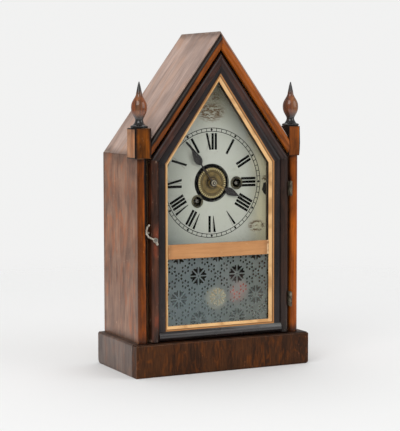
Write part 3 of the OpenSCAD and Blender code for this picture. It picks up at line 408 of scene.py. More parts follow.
def fill_patina(graph: Graph, given: Made, out: Made) -> None:
    """Cloudy soil, and small flecks where the finish has gone.

    Args:
        graph: Graph of the group.
        given: The group's inputs.
        out: The group's outputs.
    """
    place = given["Place"]
    clouds = place.noise(given["Scale"], 6.0, 0.6).band(0.42, 0.7)
    flecks = place.stretched(0.4, 1.0, 1.0).noise(420.0, 3.0, 0.3).band(0.66, 0.74)
    bare = flecks * place.noise(30.0, 2.0).band(0.5, 0.62) * given["Flecks"]
    out.feed(Colour=graph.layered(given["Colour"], (clouds * given["Amount"], given["Soil"]), (bare, given["Bare"])),
             Bare=bare)


def fill_polish(graph: Graph, given: Made, out: Made) -> None:
    """Uneven gloss of old shellac: a roughness that drifts, and a faint ripple.

    Args:
        graph: Graph of the group; not used.
        given: The group's inputs.
        out: The group's outputs.
    """
    place = given["Place"]
    worn = place.noise(45.0, 5.0, 0.5) * 0.6 + place.stretched(30, 260, 260).noise(1.0, 4.0) * 0.4
    out.feed(Roughness=worn.band(0.3, 0.7, given["Smooth"], given["Rough"], Curve.STRAIGHT),
             Height=place.noise(160.0, 3.0))


def fill_tarnish(graph: Graph, given: Made, out: Made) -> None:
    """Bright metal that has dulled in clouds and specks.

    Args:
        graph: Graph of the group.
        given: The group's inputs.
        out: The group's outputs.
    """
    clouds = given["Place"].noise(given["Scale"], 6.0, 0.8).band(0.35, 0.68)
    specks = given["Place"].noise(900.0, 3.0).band(0.6, 0.72)
    dull = graph.math("ADD", clouds * given["Amount"], specks * 0.35, clamp=True)
    out.feed(Colour=graph.mix(dull, given["Bright"], given["Dull"]), Height=dull,
             Roughness=dull.band(0.0, 1.0, given["Smooth"], given["Rough"], Curve.STRAIGHT))


# The etched pane's figures, in millimetres. An edge is the stretch in which a figure fades.
ETCH_PITCH_X = 48.0
ETCH_PITCH_Z = 49.4
ETCH_CENTRE = (-0.6, -39.8, 81.0)
WHEEL_R = 10.2
WHEEL_NOTCH = 1.7
HALF_PETAL = math.pi / 8
DOT_RING_R = 3.9
HALF_DOT = math.pi / 6
RINGS_PER_SIDE = 3
LINE_SHARE = 0.3
SPOKE_EDGE = (0.5, 0.85)
NOTCH_EDGE = (0.0, 2.0)
RIM_EDGE = (-0.3, 0.3)
BODY_EDGE = (2.4, 3.2)
HUB_EDGE = (0.6, 1.0)
DOT_EDGE = (1.15, 1.45)
LINE_EDGE = (0.1, 0.5)


def fill_petals(graph: Graph, given: Made, out: Made) -> None:
    """Mask of the clear figures in the frosted pane: eight-petal wheels, and dashes on the lozenges between.

    The place is in millimetres across and up, and the figure repeats every ETCH_PITCH_X by ETCH_PITCH_Z, with
    a second wheel in the middle of each repeat.

    Args:
        graph: Graph of the group; not used.
        given: The group's inputs.
        out: The group's outputs.
    """
    across, _, up = given["Place"].split()

    def centred(value: Value, pitch: float, shift: float) -> Value:
        """Distance from the nearest wheel's centre along one axis."""
        return (value + (pitch / 2 - shift * pitch)).wrapped(pitch) - pitch / 2

    clear: Value | None = None
    for shift in (0.0, 0.5):
        x, z = centred(across, ETCH_PITCH_X, shift), centred(up, ETCH_PITCH_Z, shift)
        radius = x.reach(z)
        petal = (z.turn(x) + math.pi).folded(HALF_PETAL)
        rim = (radius * (HALF_PETAL - petal)).band(*NOTCH_EDGE) * WHEEL_NOTCH + (WHEEL_R - WHEEL_NOTCH)
        outside = 1.0 - (radius - rim).band(*RIM_EDGE)
        petals = (radius * petal).band(*SPOKE_EDGE) * outside * radius.band(*BODY_EDGE)
        hub = 1.0 - radius.band(*HUB_EDGE)
        clear = petals.most(hub) if clear is None else clear.most(petals.most(hub))
        clear = clear.most(dotted_rings(x, z))
    out.feed(Clear=clear)


def dotted_rings(x: Value, z: Value) -> Value:
    """Rings of six dots along each side of the lozenge that surrounds a wheel, joined by a faint line.

    Args:
        x: Distance across from the wheel's centre, in millimetres.
        z: Distance up from the wheel's centre, in millimetres.

    Returns:
        A mask that is 1 on the dots.
    """
    half_x, half_z = ETCH_PITCH_X / 2, ETCH_PITCH_Z / 2
    side = math.hypot(half_x, half_z)
    normal_x, normal_z = half_z / side, half_x / side
    step = side / RINGS_PER_SIDE
    abs_x, abs_z = abs(x), abs(z)
    off = abs_x * normal_x + abs_z * normal_z - half_x * normal_x
    along = abs_x * normal_z - abs_z * normal_x
    cell = (along + (step / 2 - half_x * normal_z)).wrapped(step) - step / 2
    radius = off.reach(cell)
    right = off * normal_x + cell * normal_z
    above = off * normal_z - cell * normal_x
    turned = (above.turn(right) + 7 * HALF_DOT).folded(HALF_DOT)
    away = (radius - DOT_RING_R).reach(radius * turned)
    return (1.0 - away.band(*DOT_EDGE)).most((1.0 - abs(off).band(*LINE_EDGE)) * LINE_SHARE)


WOOD = Effect("wood_grain", {"Place": PLACE, "Pale": COLOUR, "Dark": COLOUR, "Warm": COLOUR, "Warmth": 0.5,
                             "Fineness": 1.0, "Pores": 0.6}, {"Colour": COLOUR, "Height": 0.0}, fill_wood)
# Edge colour: soiling on most finishes, partly painted shade on the pilasters and a painted sheen on the bottom rail
EDGE_GRIME_SHADE_SHEEN = Effect("edge_grime_shade_sheen", {"Place": PLACE, "Span": PLACE, "Colour": COLOUR, "Dirt": COLOUR, "Start": 0.6,
                              "Taper": 0.0, "Low Edge": 0.5, "High Edge": 0.5, "Ends": 0.4, "Rubbing": 0.3},
               {"Colour": COLOUR, "Rubbed": 0.0}, fill_edge_grime_shade_sheen)
PATINA = Effect("patina", {"Place": PLACE, "Colour": COLOUR, "Soil": COLOUR, "Bare": COLOUR, "Scale": 18.0,
                           "Amount": 0.4, "Flecks": 0.4}, {"Colour": COLOUR, "Bare": 0.0}, fill_patina)
POLISH = Effect("polish", {"Place": PLACE, "Smooth": 0.25, "Rough": 0.5}, {"Roughness": 0.0, "Height": 0.0},
                fill_polish)
TARNISH = Effect("tarnish", {"Place": PLACE, "Bright": COLOUR, "Dull": COLOUR, "Scale": 60.0, "Amount": 0.6,
                             "Smooth": 0.25, "Rough": 0.5},
                 {"Colour": COLOUR, "Roughness": 0.0, "Height": 0.0}, fill_tarnish)
PETALS = Effect("petal_wheels", {"Place": PLACE}, {"Clear": 0.0}, fill_petals)


# Finishes


# A pane's faces bend light back on its way, so a low index keeps its place and its faint gloss
PANE_IOR = 1.15


class Surface(Graph):
    """The graph of one material, with its Principled BSDF."""

    def __init__(self, name: str) -> None:
        """Makes a material of that name with the shader joined to its output.

        Args:
            name: Name of the material.
        """
        self.material = bpy.data.materials.new(name)
        self.material.use_nodes = True
        super().__init__(self.material.node_tree)
        self.tree.nodes.clear()
        self.shader = self.node("ShaderNodeBsdfPrincipled")
        self.output = self.node("ShaderNodeOutputMaterial", Surface=self.shader[0])

    def place(self) -> Value:
        """The place on a piece in the clock's own frame, in metres."""
        return self.node("ShaderNodeTexCoord")["Object"]

    def carried(self, name: str) -> Value:
        """A place that each wooden piece carries: grain in metres, or span as a share of its size."""
        return self.node("ShaderNodeAttribute", {"attribute_name": name})["Vector"]

    def coat(self, height: Value, distance: float, strength: float, **inputs: Any) -> None:
        """Feeds the shader and gives it a bump.

        Args:
            height: Height of the bump, from 0 to 1.
            distance: Height in metres at 1.
            strength: Strength of the bump.
            inputs: Values of the shader's inputs by name.
        """
        made = self.node("ShaderNodeBump", Strength=strength, Distance=distance, Height=height)
        self.shader.feed(Normal=made[0], **inputs)

    def pane(self, tint: Colour) -> None:
        """Makes the shader glass, and lets light that goes to the pieces behind pass through it unbent.

        Args:
            tint: Colour of the glass.
        """
        self.shader.feed(Base_Color=tint, Transmission_Weight=1.0, IOR=PANE_IOR)
        shadow = self.node("ShaderNodeLightPath")["Is Shadow Ray"]
        clear = self.node("ShaderNodeBsdfTransparent")
        self.output.feed(Surface=self.node("ShaderNodeMixShader", n0=shadow, n1=self.shader[0], n2=clear[0])[0])

    def etched(self) -> Value:
        """Mask of the clear figures on the lower pane."""
        moved = self.vector("SUBTRACT", self.place(), tuple(part * MM for part in ETCH_CENTRE))[0]
        return PETALS.place(self, Place=moved.stretched(1000.0, 1000.0, 1000.0))["Clear"]


@dataclass(frozen=True)
class Finish:
    """A finish makes one material the first time that it is asked for."""

    name: str
    made: ClassVar[dict[Any, bpy.types.Material]] = {}

    def material(self) -> bpy.types.Material:
        """The finish's material.

        Returns:
            The material.
        """
        if self not in Finish.made:
            surface = Surface(self.name)
            self.paint(surface)
            Finish.made[self] = surface.material
        return Finish.made[self]

    def paint(self, surface: Surface) -> None:
        """Adds the finish's nodes to its material."""
        raise NotImplementedError


@dataclass(frozen=True)
class WoodFinish(Finish):
    """Polished or painted wood with grain, soil, rubbed edges, bare flecks, uneven gloss, and an edge colour that is
    soiling on most finishes, partly painted shade on the pilasters and a painted sheen on the bottom rail.
    """

    pale: Colour
    dark: Colour
    soil: Colour
    bare: Colour
    warm: Colour
    warmth: float = 0.5
    # Edge colour: soiling, partly painted shade on the pilasters, a painted sheen on the bottom rail
    dirt: Colour = (0.008, 0.006, 0.006, 1.0)
    start: float = 0.6
    taper: float = 0.0
    low_edge: float = 0.5
    high_edge: float = 0.5
    ends: float = 0.5
    rubbing: float = 0.4
    smooth: float = 0.28
    rough: float = 0.5
    coat: float = 0.1
    shine: float = 0.3
    fineness: float = 1.0
    pores: float = 0.6
    amount: float = 0.45
    flecks: float = 0.5

    def paint(self, surface: Surface) -> None:
        """Adds the wood's nodes.

        Args:
            surface: Graph of the material.
        """
        place = surface.carried("grain")
        wood = WOOD.place(surface, self, Place=place)
        worn = PATINA.place(surface, self, Place=place, Colour=wood["Colour"])
        grimed_shaded_sheened = EDGE_GRIME_SHADE_SHEEN.place(surface, self, Place=place, Span=surface.carried("span"), Colour=worn["Colour"])
        gloss = POLISH.place(surface, self, Place=place)
        surface.coat(wood["Height"] * 0.5 + gloss["Height"] - worn["Bare"], 0.00012, 0.6,
                     Base_Color=surface.mix(grimed_shaded_sheened["Rubbed"], grimed_shaded_sheened["Colour"], self.bare),
                     Roughness=gloss["Roughness"], Coat_Weight=self.coat, Coat_Roughness=0.17,
                     Specular_IOR_Level=self.shine)


@dataclass(frozen=True)
class TurnedFinish(Finish):
    """Turned wood: glossy red-brown on the bulb, near black on the foot, neck and spike."""

    foot: float
    top: float
    bulb: Colour
    bulb_dark: Colour
    black: Colour
    warm: Colour = (0.5, 0.25, 0.1, 1.0)

    def paint(self, surface: Surface) -> None:
        """Adds the finials' nodes.

        Args:
            surface: Graph of the material.
        """
        place = surface.carried("grain")
        height = surface.place().split()[2]
        rise = (height - self.foot) / (self.top - self.foot) + (place.noise(90.0, 3.0) - 0.5) * 0.06
        shade = (1.0 - rise.band(0.18, 0.38)).most(rise.band(0.6, 0.85))
        wood = WOOD.place(surface, Place=place, Pale=self.bulb, Dark=self.bulb_dark, Warm=self.warm,
                          Fineness=0.6, Pores=0.4)
        worn = PATINA.place(surface, Place=place, Colour=surface.mix(shade, wood["Colour"], self.black),
                            Soil=self.black, Bare=self.bulb, Amount=0.35, Flecks=0.5)
        gloss = POLISH.place(surface, Place=place, Smooth=0.16, Rough=0.34)
        surface.coat(gloss["Height"], 0.00015, 0.5, Base_Color=worn["Colour"], Roughness=gloss["Roughness"],
                     Coat_Weight=0.9, Coat_Roughness=0.08)


@dataclass(frozen=True)
class MetalFinish(Finish):
    """Metal that has dulled in clouds and specks."""

    bright: Colour
    dull: Colour
    metallic: float = 1.0
    amount: float = 0.6
    smooth: float = 0.25
    rough: float = 0.5
    scale: float = 60.0

    def paint(self, surface: Surface) -> None:
        """Adds the metal's nodes.

        Args:
            surface: Graph of the material.
        """
        metal = TARNISH.place(surface, self, Place=surface.place())
        surface.coat(metal["Height"], 0.00005, 0.4, Base_Color=metal["Colour"], Roughness=metal["Roughness"],
                     Metallic=self.metallic)


@dataclass(frozen=True)
class SpotFinish(Finish):
    """Dull metal that has one colour near a spot and another beyond a certain reach, and can glow all over with a
    painted light.
    """

    near: Colour
    far: Colour
    centre: Place
    reach: float
    spread: float = 2.5
    metallic: float = 0.5
    glow: float = 0.0

    def paint(self, surface: Surface) -> None:
        """Adds the metal's nodes.

        Args:
            surface: Graph of the material.
        """
        place = surface.place()
        away = surface.vector("DISTANCE", place, self.centre)["Value"]
        share = away.band(self.reach - self.spread * MM, self.reach + self.spread * MM)
        metal = TARNISH.place(surface, Place=place, Bright=surface.mix(share, self.near, self.far),
                              Dull="221C1A", Amount=0.35, Smooth=0.28, Rough=0.5)
        surface.coat(metal["Height"], 0.00004, 0.4, Base_Color=metal["Colour"], Roughness=metal["Roughness"],
                     Emission_Color=metal["Colour"], Emission_Strength=self.glow, Metallic=self.metallic)


@dataclass(frozen=True)
class DiscFinish(Finish):
    """A small turned disc: dull brass with rings round its middle and a row of pale beads at its rim.

    The rings, the rim and the shaded middle are radii in millimetres. A rim or middle of 0 leaves it out. The shaded
    middle is painted shade, and the pale rings are painted highlights.
    """

    face: Colour
    dark: Colour
    pale: Colour
    centre: Place
    rings: tuple[float, ...]
    rim: float = 0.0
    beads: int = 40
    shaded: float = 0.0

    def paint(self, surface: Surface) -> None:
        """Adds the disc's nodes.

        Args:
            surface: Graph of the material.
        """
        place = surface.place()
        x, _, z = surface.vector("SUBTRACT", place, self.centre)[0].split()
        radius = x.reach(z)
        metal = TARNISH.place(surface, Place=place, Bright=self.face, Dull=surface.mix(0.5, self.face, self.dark),
                              Scale=160.0, Amount=0.8, Smooth=0.4, Rough=0.6)
        layers: list[tuple[Value, Any]] = []
        # Rings, dark and pale by turns; the hub's pale rings are painted highlights
        for i, ring in enumerate(self.rings):
            near = 1.0 - abs(radius - ring * MM).band(0.25 * MM, 0.6 * MM)
            layers.append((near * 0.85, self.pale if i % 2 else self.dark))
        # Painted shade over the middle, darkest at the hub
        if self.shaded:
            layers.append((radius.band(self.shaded * MM, self.shaded * 0.6 * MM) * 0.7, self.dark))
        if self.rim:
            half = math.pi / self.beads
            bead = (z.turn(x) + math.pi).folded(half).band(half * 0.35, half * 0.65)
            line = 1.0 - abs(radius - (self.rim - 2.6) * MM).band(0.2 * MM, 0.5 * MM)
            layers += [(radius.band((self.rim - 2.4) * MM, (self.rim - 2.0) * MM),
                        surface.mix(bead, self.dark, self.pale)),
                       (radius.band(self.rim * MM, (self.rim + 0.3) * MM), self.dark), (line * 0.6, self.dark)]
        surface.coat(metal["Height"], 0.00005, 0.4, Base_Color=surface.layered(metal["Colour"], *layers),
                     Roughness=metal["Roughness"], Metallic=0.5)


@dataclass(frozen=True)
class GiltFinish(Finish):
    """Old gilding on a slip that slopes back: a mid bead outside, a dark groove, and a pale run inside. The dark
    groove and edges are painted shade and the pale run is partly painted light; they stand for the slip's moulded
    profile.
    """

    pale: Colour
    middle: Colour
    dark: Colour
    front: float
    back: float

    def paint(self, surface: Surface) -> None:
        """Adds the gilding's nodes.

        Args:
            surface: Graph of the material.
        """
        place = surface.place()
        deep = (place.split()[1] - self.front) / (self.back - self.front) + (place.noise(60.0) - 0.5) * 0.08
        # Painted shade in the groove and along the front and back edges
        groove = 1.0 - abs(deep - 0.3).band(0.03, 0.1)
        edge = deep.band(0.9, 1.02).most(1.0 - deep.band(0.0, 0.07))
        # A paler inner run, partly painted light
        colour = surface.mix(deep.band(0.3, 0.45), self.middle, self.pale)
        worn = PATINA.place(surface, Place=place, Colour=colour, Soil=self.middle, Bare="F0DCB4",
                            Scale=60.0, Amount=0.7, Flecks=0.5)
        painted_groove_edge_shade = (groove * 0.75).most(edge * 0.7)
        surface.coat(place.noise(240.0, 3.0, 0.4) - groove * 3.0, 0.0002, 0.7, Roughness=0.42,
                     Base_Color=surface.mix(painted_groove_edge_shade, worn["Colour"], self.dark), Specular_IOR_Level=0.6)


# Middle, reach, hollow share and strength of the brown stains, and the place where the paint has chipped off
DIAL_STAINS = [((-1.0 * MM, -22.3 * MM, 286.5 * MM), 21 * MM, 0.0, 1.0),
               ((3.0 * MM, -22.3 * MM, 303 * MM), 10 * MM, 0.0, 0.8),
               ((57.0 * MM, -22.3 * MM, 157.0 * MM), 13 * MM, 0.55, 1.0),
               ((56.0 * MM, -22.3 * MM, 156.0 * MM), 5 * MM, 0.0, 0.8),
               ((68 * MM, -22.3 * MM, 211 * MM), 6 * MM, 0.0, 0.9)]
DIAL_CHIP = (72.5 * MM, -22.3 * MM, 199.0 * MM)
CHIP_EDGE = (4.2 * MM, 4.8 * MM)
# Stretches above and below the dial's middle: its top yellows and darkens, partly yellowed paint and partly painted
# shade, and its lower left darkens with painted shade
DIAL_TOP_YELLOW_SHADE = (58 * MM, 105 * MM)
DIAL_LOW_SHADE = (-30 * MM, -75 * MM)


@dataclass(frozen=True)
class DialFinish(Finish):
    """Dial paint: pale grey-green white that has yellowed at its edges and stained, with painted shade on its left,
    lower left and top and painted light on its right.
    """

    paint_tone: Colour
    # Olive of the top: partly yellowed paint, partly painted shade
    edge: Colour
    stain: Colour
    half_width: float
    middle: float

    def paint(self, surface: Surface) -> None:
        """Adds the dial's nodes.

        Args:
            surface: Graph of the material.
        """
        place = surface.place()
        x, _, z = place.split()
        clouds = place.noise(22.0, 5.0, 0.7)
        fine = place.noise(260.0, 4.0, 0.3)
        drift = (clouds - 0.5) * 0.03
        # The right is painted paler and yellower, partly yellowed paint and partly painted light; the left and the
        # lower left are darkened as painted shade
        right = (x + drift).band(self.half_width * 0.5, self.half_width * 0.85)
        left = (drift - x).band(0.0, self.half_width * 0.9)
        top = (z + drift).band(*(self.middle + part for part in DIAL_TOP_YELLOW_SHADE))
        low = z.band(*(self.middle + part for part in DIAL_LOW_SHADE)) * left
        blots = place.stretched(0.7, 1.0, 2.6).noise(340.0, 5.0, 0.7).band(0.46, 0.53)
        chip = surface.vector("DISTANCE", place, DIAL_CHIP)["Value"]
        layers = [(clouds.band(0.35, 0.7) * 0.4, "BCBCB6"),
                  (fine.band(0.55, 0.75) * 0.35, "9C988A"),
                  ((right * 0.8).most(top * 0.9), surface.mix(right, self.edge, "F0E6BE")),
                  (left * 0.55, "767A70"),
                  (low * 0.6, "768280")]
        for centre, radius, hollow, share in DIAL_STAINS:
            off = surface.vector("SUBTRACT", place, centre)[0].stretched(1.0, 1.0, 1.6)
            away = surface.vector("LENGTH", off)["Value"]
            mark = (1.0 - away.band(radius * 0.5, radius)) * away.band(radius * (hollow * 0.8 - 0.1), radius * hollow)
            layers.append((mark * blots * share, self.stain))
        layers += [(1.0 - (chip + drift).band(*CHIP_EDGE), "2C281E"),
                   (place.noise(700.0, 2.0).band(0.72, 0.76) * 0.6, self.stain)]
        surface.coat(fine, 0.00005, 0.5, Base_Color=surface.layered(self.paint_tone, *layers),
                     Roughness=clouds.band(0.3, 0.7, 0.45, 0.62))


@dataclass(frozen=True)
class PaintFinish(Finish):
    """Plain paint or print with a cloudy second colour and worn flecks."""

    colour: Colour
    soil: Colour
    bare: Colour
    rough: float = 0.55
    scale: float = 40.0
    amount: float = 0.5
    flecks: float = 0.3
    shine: float = 0.3

    def paint(self, surface: Surface) -> None:
        """Adds the paint's nodes.

        Args:
            surface: Graph of the material.
        """
        place = surface.place()
        worn = PATINA.place(surface, self, Place=place)
        gloss = POLISH.place(surface, Place=place, Smooth=self.rough - 0.1, Rough=self.rough + 0.1)
        surface.coat(gloss["Height"], 0.0001, 0.4, Base_Color=worn["Colour"], Roughness=gloss["Roughness"],
                     Specular_IOR_Level=self.shine)


@dataclass(frozen=True)
class GlassFinish(Finish):
    """Old window glass, slightly wavy and smeared."""

    tint: Colour

    def paint(self, surface: Surface) -> None:
        """Adds the clear pane's nodes.

        Args:
            surface: Graph of the material.
        """
        place = surface.place()
        surface.coat(place.noise(18.0, 2.0), 0.0001, 0.2,
                     Roughness=place.noise(30.0, 5.0, 0.8).band(0.5, 0.8, 0.0, 0.05))
        surface.pane(self.tint)


@dataclass(frozen=True)
class EtchedGlassFinish(Finish):
    """The lower pane: smooth in the clear figures, ground everywhere else."""

    tint: Colour

    def paint(self, surface: Surface) -> None:
        """Adds the etched pane's nodes."""
        surface.shader.feed(Roughness=surface.etched().band(0.0, 1.0, 0.3, 0.03))
        surface.pane(self.tint)


@dataclass(frozen=True)
class FrostFinish(Finish):
    """The ground skin of the lower pane: a pale veil with the clear figures left out, which towards the bottom are
    veiled a little too as painted light.
    """

    veil: Colour
    warm: Colour
    density: float
    low_haze: float = 0.2

    def paint(self, surface: Surface) -> None:
        """Adds the veil's nodes.

        Args:
            surface: Graph of the material.
        """
        place = surface.place()
        x, _, z = place.split()
        clouds = place.noise(16.0, 4.0, 0.5).band(0.35, 0.7)
        # Towards the bottom the clear figures are veiled too: painted light
        painted_light_veil = z.band(0.108, 0.07, 0.0, self.low_haze)
        surface.shader.feed(Base_Color=surface.layered(self.veil, (x.band(-0.05, 0.06) * 0.7, self.warm),
                                                       (clouds * 0.25, "969692")),
                            Alpha=surface.etched().band(0.0, 1.0, self.density, painted_light_veil), Roughness=0.7)
        surface.material.surface_render_method = "BLENDED"


VENEER = WoodFinish(
    "veneer_side", "BA8F76", "6C4A3A", "62463A", "E2B89C", "BC6C3C", warmth=0.8, start=0.7, low_edge=0.3,
    high_edge=0.45, ends=0.5, rubbing=0.1, smooth=0.3, rough=0.5, fineness=1.0, pores=0.75, amount=0.55, flecks=1.0)
# The roof's pale greyish pink is partly the veneer's colour and partly a painted sheen
VENEER_ROOF_PAINTED_SHEEN = WoodFinish(
    "veneer_roof_painted_sheen", "D4B8AA", "988076", "86726A", "DEC8B6", "BE8E6E", warmth=0.6, dirt="3C281E", start=0.8, taper=0.0,
    low_edge=0.15, high_edge=0.2, ends=0.65, rubbing=0.2, smooth=0.34, rough=0.56, fineness=0.6, pores=0.4)
BASE_SIDE = WoodFinish(
    "veneer_base_side", "846E62", "4E3C34", "40302A", "B08C74", "885C42", warmth=0.5, start=0.75, ends=0.5,
    smooth=0.3, rough=0.48, fineness=1.0, pores=0.7)
BASE_VENEER = WoodFinish(
    "veneer_base", "563218", "24150B", "22150D", "884C28", "783E0E", warmth=0.6, start=0.8, low_edge=0.3,
    high_edge=0.6, ends=0.7, rubbing=0.3, smooth=0.3, rough=0.48, coat=0.05, shine=0.1, fineness=2.4, pores=0.9,
    flecks=0.9)
BASE_WORN = WoodFinish(
    "worn_base_edge", "967056", "5C3E2E", "3C2820", "C49670", "A06840", start=1.5, low_edge=0.0, high_edge=0.0,
    ends=0.0, smooth=0.35, rough=0.55)
# The dark inner edge of each pilaster, next to the door, is partly soiling and partly painted shade on that side of
# the half-round
PILASTER = WoodFinish(
    "pilaster_left_wood", "A45210", "542604", "3A1C06", "DC9258", "B45602", warmth=0.75, start=0.1, taper=-0.3,
    low_edge=0.5, high_edge=1.0, ends=0.85, smooth=0.2, rough=0.38, coat=0.2, shine=0.12)
PILASTER_RIGHT = replace(
    PILASTER, name="pilaster_right_wood", pale="C06216", dark="743204", start=0.7, taper=-0.1, low_edge=0.9,
    high_edge=0.4)
MOULDING = WoodFinish(
    "moulding_left_wood", "A45414", "4E2406", "301908", "C88A58", "B65C0A", warmth=0.75, dirt="221914", start=0.0,
    taper=0.15, low_edge=0.1, high_edge=1.0, ends=0.6, smooth=0.2, rough=0.38, coat=0.25, shine=0.12, flecks=0.2)
MOULDING_RIGHT = replace(
    MOULDING, name="moulding_right_wood", pale="B25E1A", dark="582A08", start=0.75, taper=0.0, low_edge=0.45,
    high_edge=0.5)
BLACK = WoodFinish(
    "ebonised_wood", "2A2424", "141112", "322828", "76685E", "382422", warmth=0.5, start=0.7, low_edge=0.7,
    high_edge=0.7, rubbing=0.25, smooth=0.22, rough=0.4, coat=0.15, shine=0.25, amount=0.35, flecks=0.35)
BLACK_WARM = replace(BLACK, name="ebonised_outer_band", pale="462C24", dark="201513", warm="603424")
BLACK_BROWN = replace(BLACK, name="black_brown_band", pale="3A261C", dark="1A130F", warm="462818")
# The grey on the bottom rail's upper side, stronger to the right, is a painted sheen
BLACK_GLOSSY_PAINTED_SHEEN = replace(
    BLACK, name="ebonised_rail_painted_sheen", dirt="787A78", start=0.1, taper=-0.35, low_edge=0.0, high_edge=0.65, ends=0.0,
    coat=0.8, smooth=0.16, rough=0.3, shine=0.5)
RED_BROWN = WoodFinish(
    "red_brown_wood", "623620", "28160D", "221510", "C8A890", "8C4024", warmth=0.8, start=0.85, low_edge=0.4,
    high_edge=0.4, rubbing=0.4, smooth=0.24, rough=0.42, coat=0.15, shine=0.25, flecks=0.6)
CAPITAL = WoodFinish(
    "capital_veneer", "8A4A0E", "321904", "281708", "BE8C60", "9A5006", warmth=0.7, start=0.5, low_edge=0.85,
    high_edge=0.85, ends=0.6, smooth=0.26, rough=0.44, coat=0.05, shine=0.1)
# The left capital's outer side, painted far paler than its front: a painted sheen
CAPITAL_SIDE_PAINTED_SHEEN = replace(
    CAPITAL, name="capital_side_painted_sheen", pale="E6AC84", dark="966446", warm="E0925C", start=0.84, low_edge=0.5,
    high_edge=0.4, ends=0.9)
CAPITAL_RIGHT = replace(
    CAPITAL, name="capital_right_veneer", pale="9E541E", dark="60300E", warm="A85614", start=0.65, high_edge=1.0)
# Near black on a capital's other faces and softened edges: painted shade
CAPITAL_PAINTED_SHADE = replace(CAPITAL, name="capital_painted_shade", pale="3E281A", dark="1C140F", warm="462A16")
RAW_WOOD = WoodFinish(
    "bare_pine", "A88054", "805C3A", "644C38", "BE9A70", "A07042", ends=0.5, smooth=0.55, rough=0.75, coat=0.0,
    fineness=0.6, pores=0.4)
# Wood painted dark as painted shade, for the roof undersides and the inside of the case
WOOD_PAINTED_SHADE = replace(RAW_WOOD, name="wood_painted_shade", pale="4A3A2C", dark="2C221C", warm="503A28", soil="221C18")
# Old gilding whose stripes are partly painted light and shade for the slip's profile
GILT = GiltFinish("old_gilding", "F6C688", "BE8246", "583A22", -45.4 * MM, -40.5 * MM)
TAN = WoodFinish(
    "tan_paint", "CE9662", "B88050", "A0683E", "ECCEA4", "C88C54", dirt="6E4C2E", start=0.86, low_edge=0.4,
    high_edge=0.8, ends=0.5, rubbing=0.9, smooth=0.4, rough=0.56, coat=0.0, fineness=0.7, pores=0.25, amount=0.3,
    flecks=0.6)
PRINT = PaintFinish("dial_print", "0A0909", "12100F", "3C3832", rough=0.6, flecks=0.1, shine=0.05)
FAINT_PRINT = PaintFinish("worn_dial_print", "605C56", "8C8880", "96928A", rough=0.55)
BRASS = MetalFinish("brass", "C49E5C", "785A34", amount=0.5)
OLIVE_BRASS = MetalFinish(
    "olive_brass", "58523A", "221F16", amount=0.8, metallic=0.4, smooth=0.4, rough=0.6, scale=160.0)
DARK_STEEL = MetalFinish("dark_steel", "78746C", "1E1C1A", amount=0.9, metallic=0.8, scale=300.0)
HINGE_BRASS = MetalFinish("grey_brass", "887E6A", "2A221A", amount=0.9, metallic=0.6, scale=240.0)
LATCH_METAL = MetalFinish(
    "pale_latch_brass", "CEC6B8", "74624E", amount=0.7, metallic=0.5, smooth=0.35, rough=0.55, scale=260.0)
BOB_METAL = MetalFinish("pale_bob_brass", "E4D2A8", "C4AC80", amount=0.5, metallic=0.1, smooth=0.4, rough=0.6)
# Dark brown paint on the glazing beads: painted shade in the rebate round the panes
BEAD_PAINTED_SHADE = PaintFinish("glazing_bead_painted_shade", "584A32", "30261A", "786446", rough=0.6)
# Black of the dial's printed ring, and of the sheet behind the dial's hole, which is painted shade
BLACK_PRINT_AND_SHADE = PaintFinish("black_print_and_painted_shade", "090807", "120F0D", "2C241C", rough=0.7, scale=120.0, shine=0.05)
STEEL = MetalFinish("steel", "A8A6A0", "605C58", amount=0.4, smooth=0.22, rough=0.42)
BLUED = MetalFinish("blued_steel", "2A282E", "181618", amount=0.5, metallic=0.6)
GLASS = GlassFinish("window_glass", (0.97, 0.985, 0.975, 1.0))
ETCHED = EtchedGlassFinish("etched_glass", (0.96, 0.98, 0.98, 1.0))
FROST = FrostFinish("ground_skin", "7C8889", "84867A", 0.42)


# Making pieces


# Reach in metres within which points join, and angles in degrees: faces that lie flat with each other, edges
# that stay sharp, and edges that are softened
JOIN_REACH = 2e-6
FLAT_ANGLE = 0.6
SHARP_ANGLE = 32
SOFT_ANGLE = 35
FIGURE_SHIFT = Vector((0.31, 0.17, 0.23))


def put(name: str, data: bpy.types.ID) -> bpy.types.Object:
    """Puts an object with that data in the scene.

    Args:
        name: Name of the object.
        data: Its mesh, camera or lamp.

    Returns:
        The object.
    """
    made = bpy.data.objects.new(name, data)
    bpy.context.scene.collection.objects.link(made)
    return made


def baked(piece: bpy.types.Object) -> bpy.types.Object:
    """Applies a piece's modifiers to its mesh and removes them.

    Args:
        piece: Piece with modifiers.

    Returns:
        The same piece.
    """
    graph = bpy.context.evaluated_depsgraph_get()
    mesh = bpy.data.meshes.new_from_object(piece.evaluated_get(graph), preserve_all_data_layers=True,
                                           depsgraph=graph)
    piece.modifiers.clear()
    piece.data = mesh
    return piece


def merged_copy(source: bpy.types.Object) -> bpy.types.Mesh:
    """Copies a CAD node's mesh with its loose triangles joined into flat faces.

    Args:
        source: The CAD node.

    Returns:
        The copy.
    """
    mesh = source.data.copy()
    if mesh.attributes.get("custom_normal"):
        mesh.attributes.remove(mesh.attributes["custom_normal"])
    work = bmesh.new()
    work.from_mesh(mesh)
    bmesh.ops.remove_doubles(work, verts=work.verts, dist=JOIN_REACH)
    bmesh.ops.dissolve_limit(work, angle_limit=math.radians(FLAT_ANGLE), verts=work.verts, edges=work.edges)
    for face in work.faces:
        face.smooth = True
    for edge in work.edges:
        edge.smooth = edge.calc_face_angle(math.pi) < math.radians(SHARP_ANGLE)
    work.to_mesh(mesh)
    work.free()
    return mesh


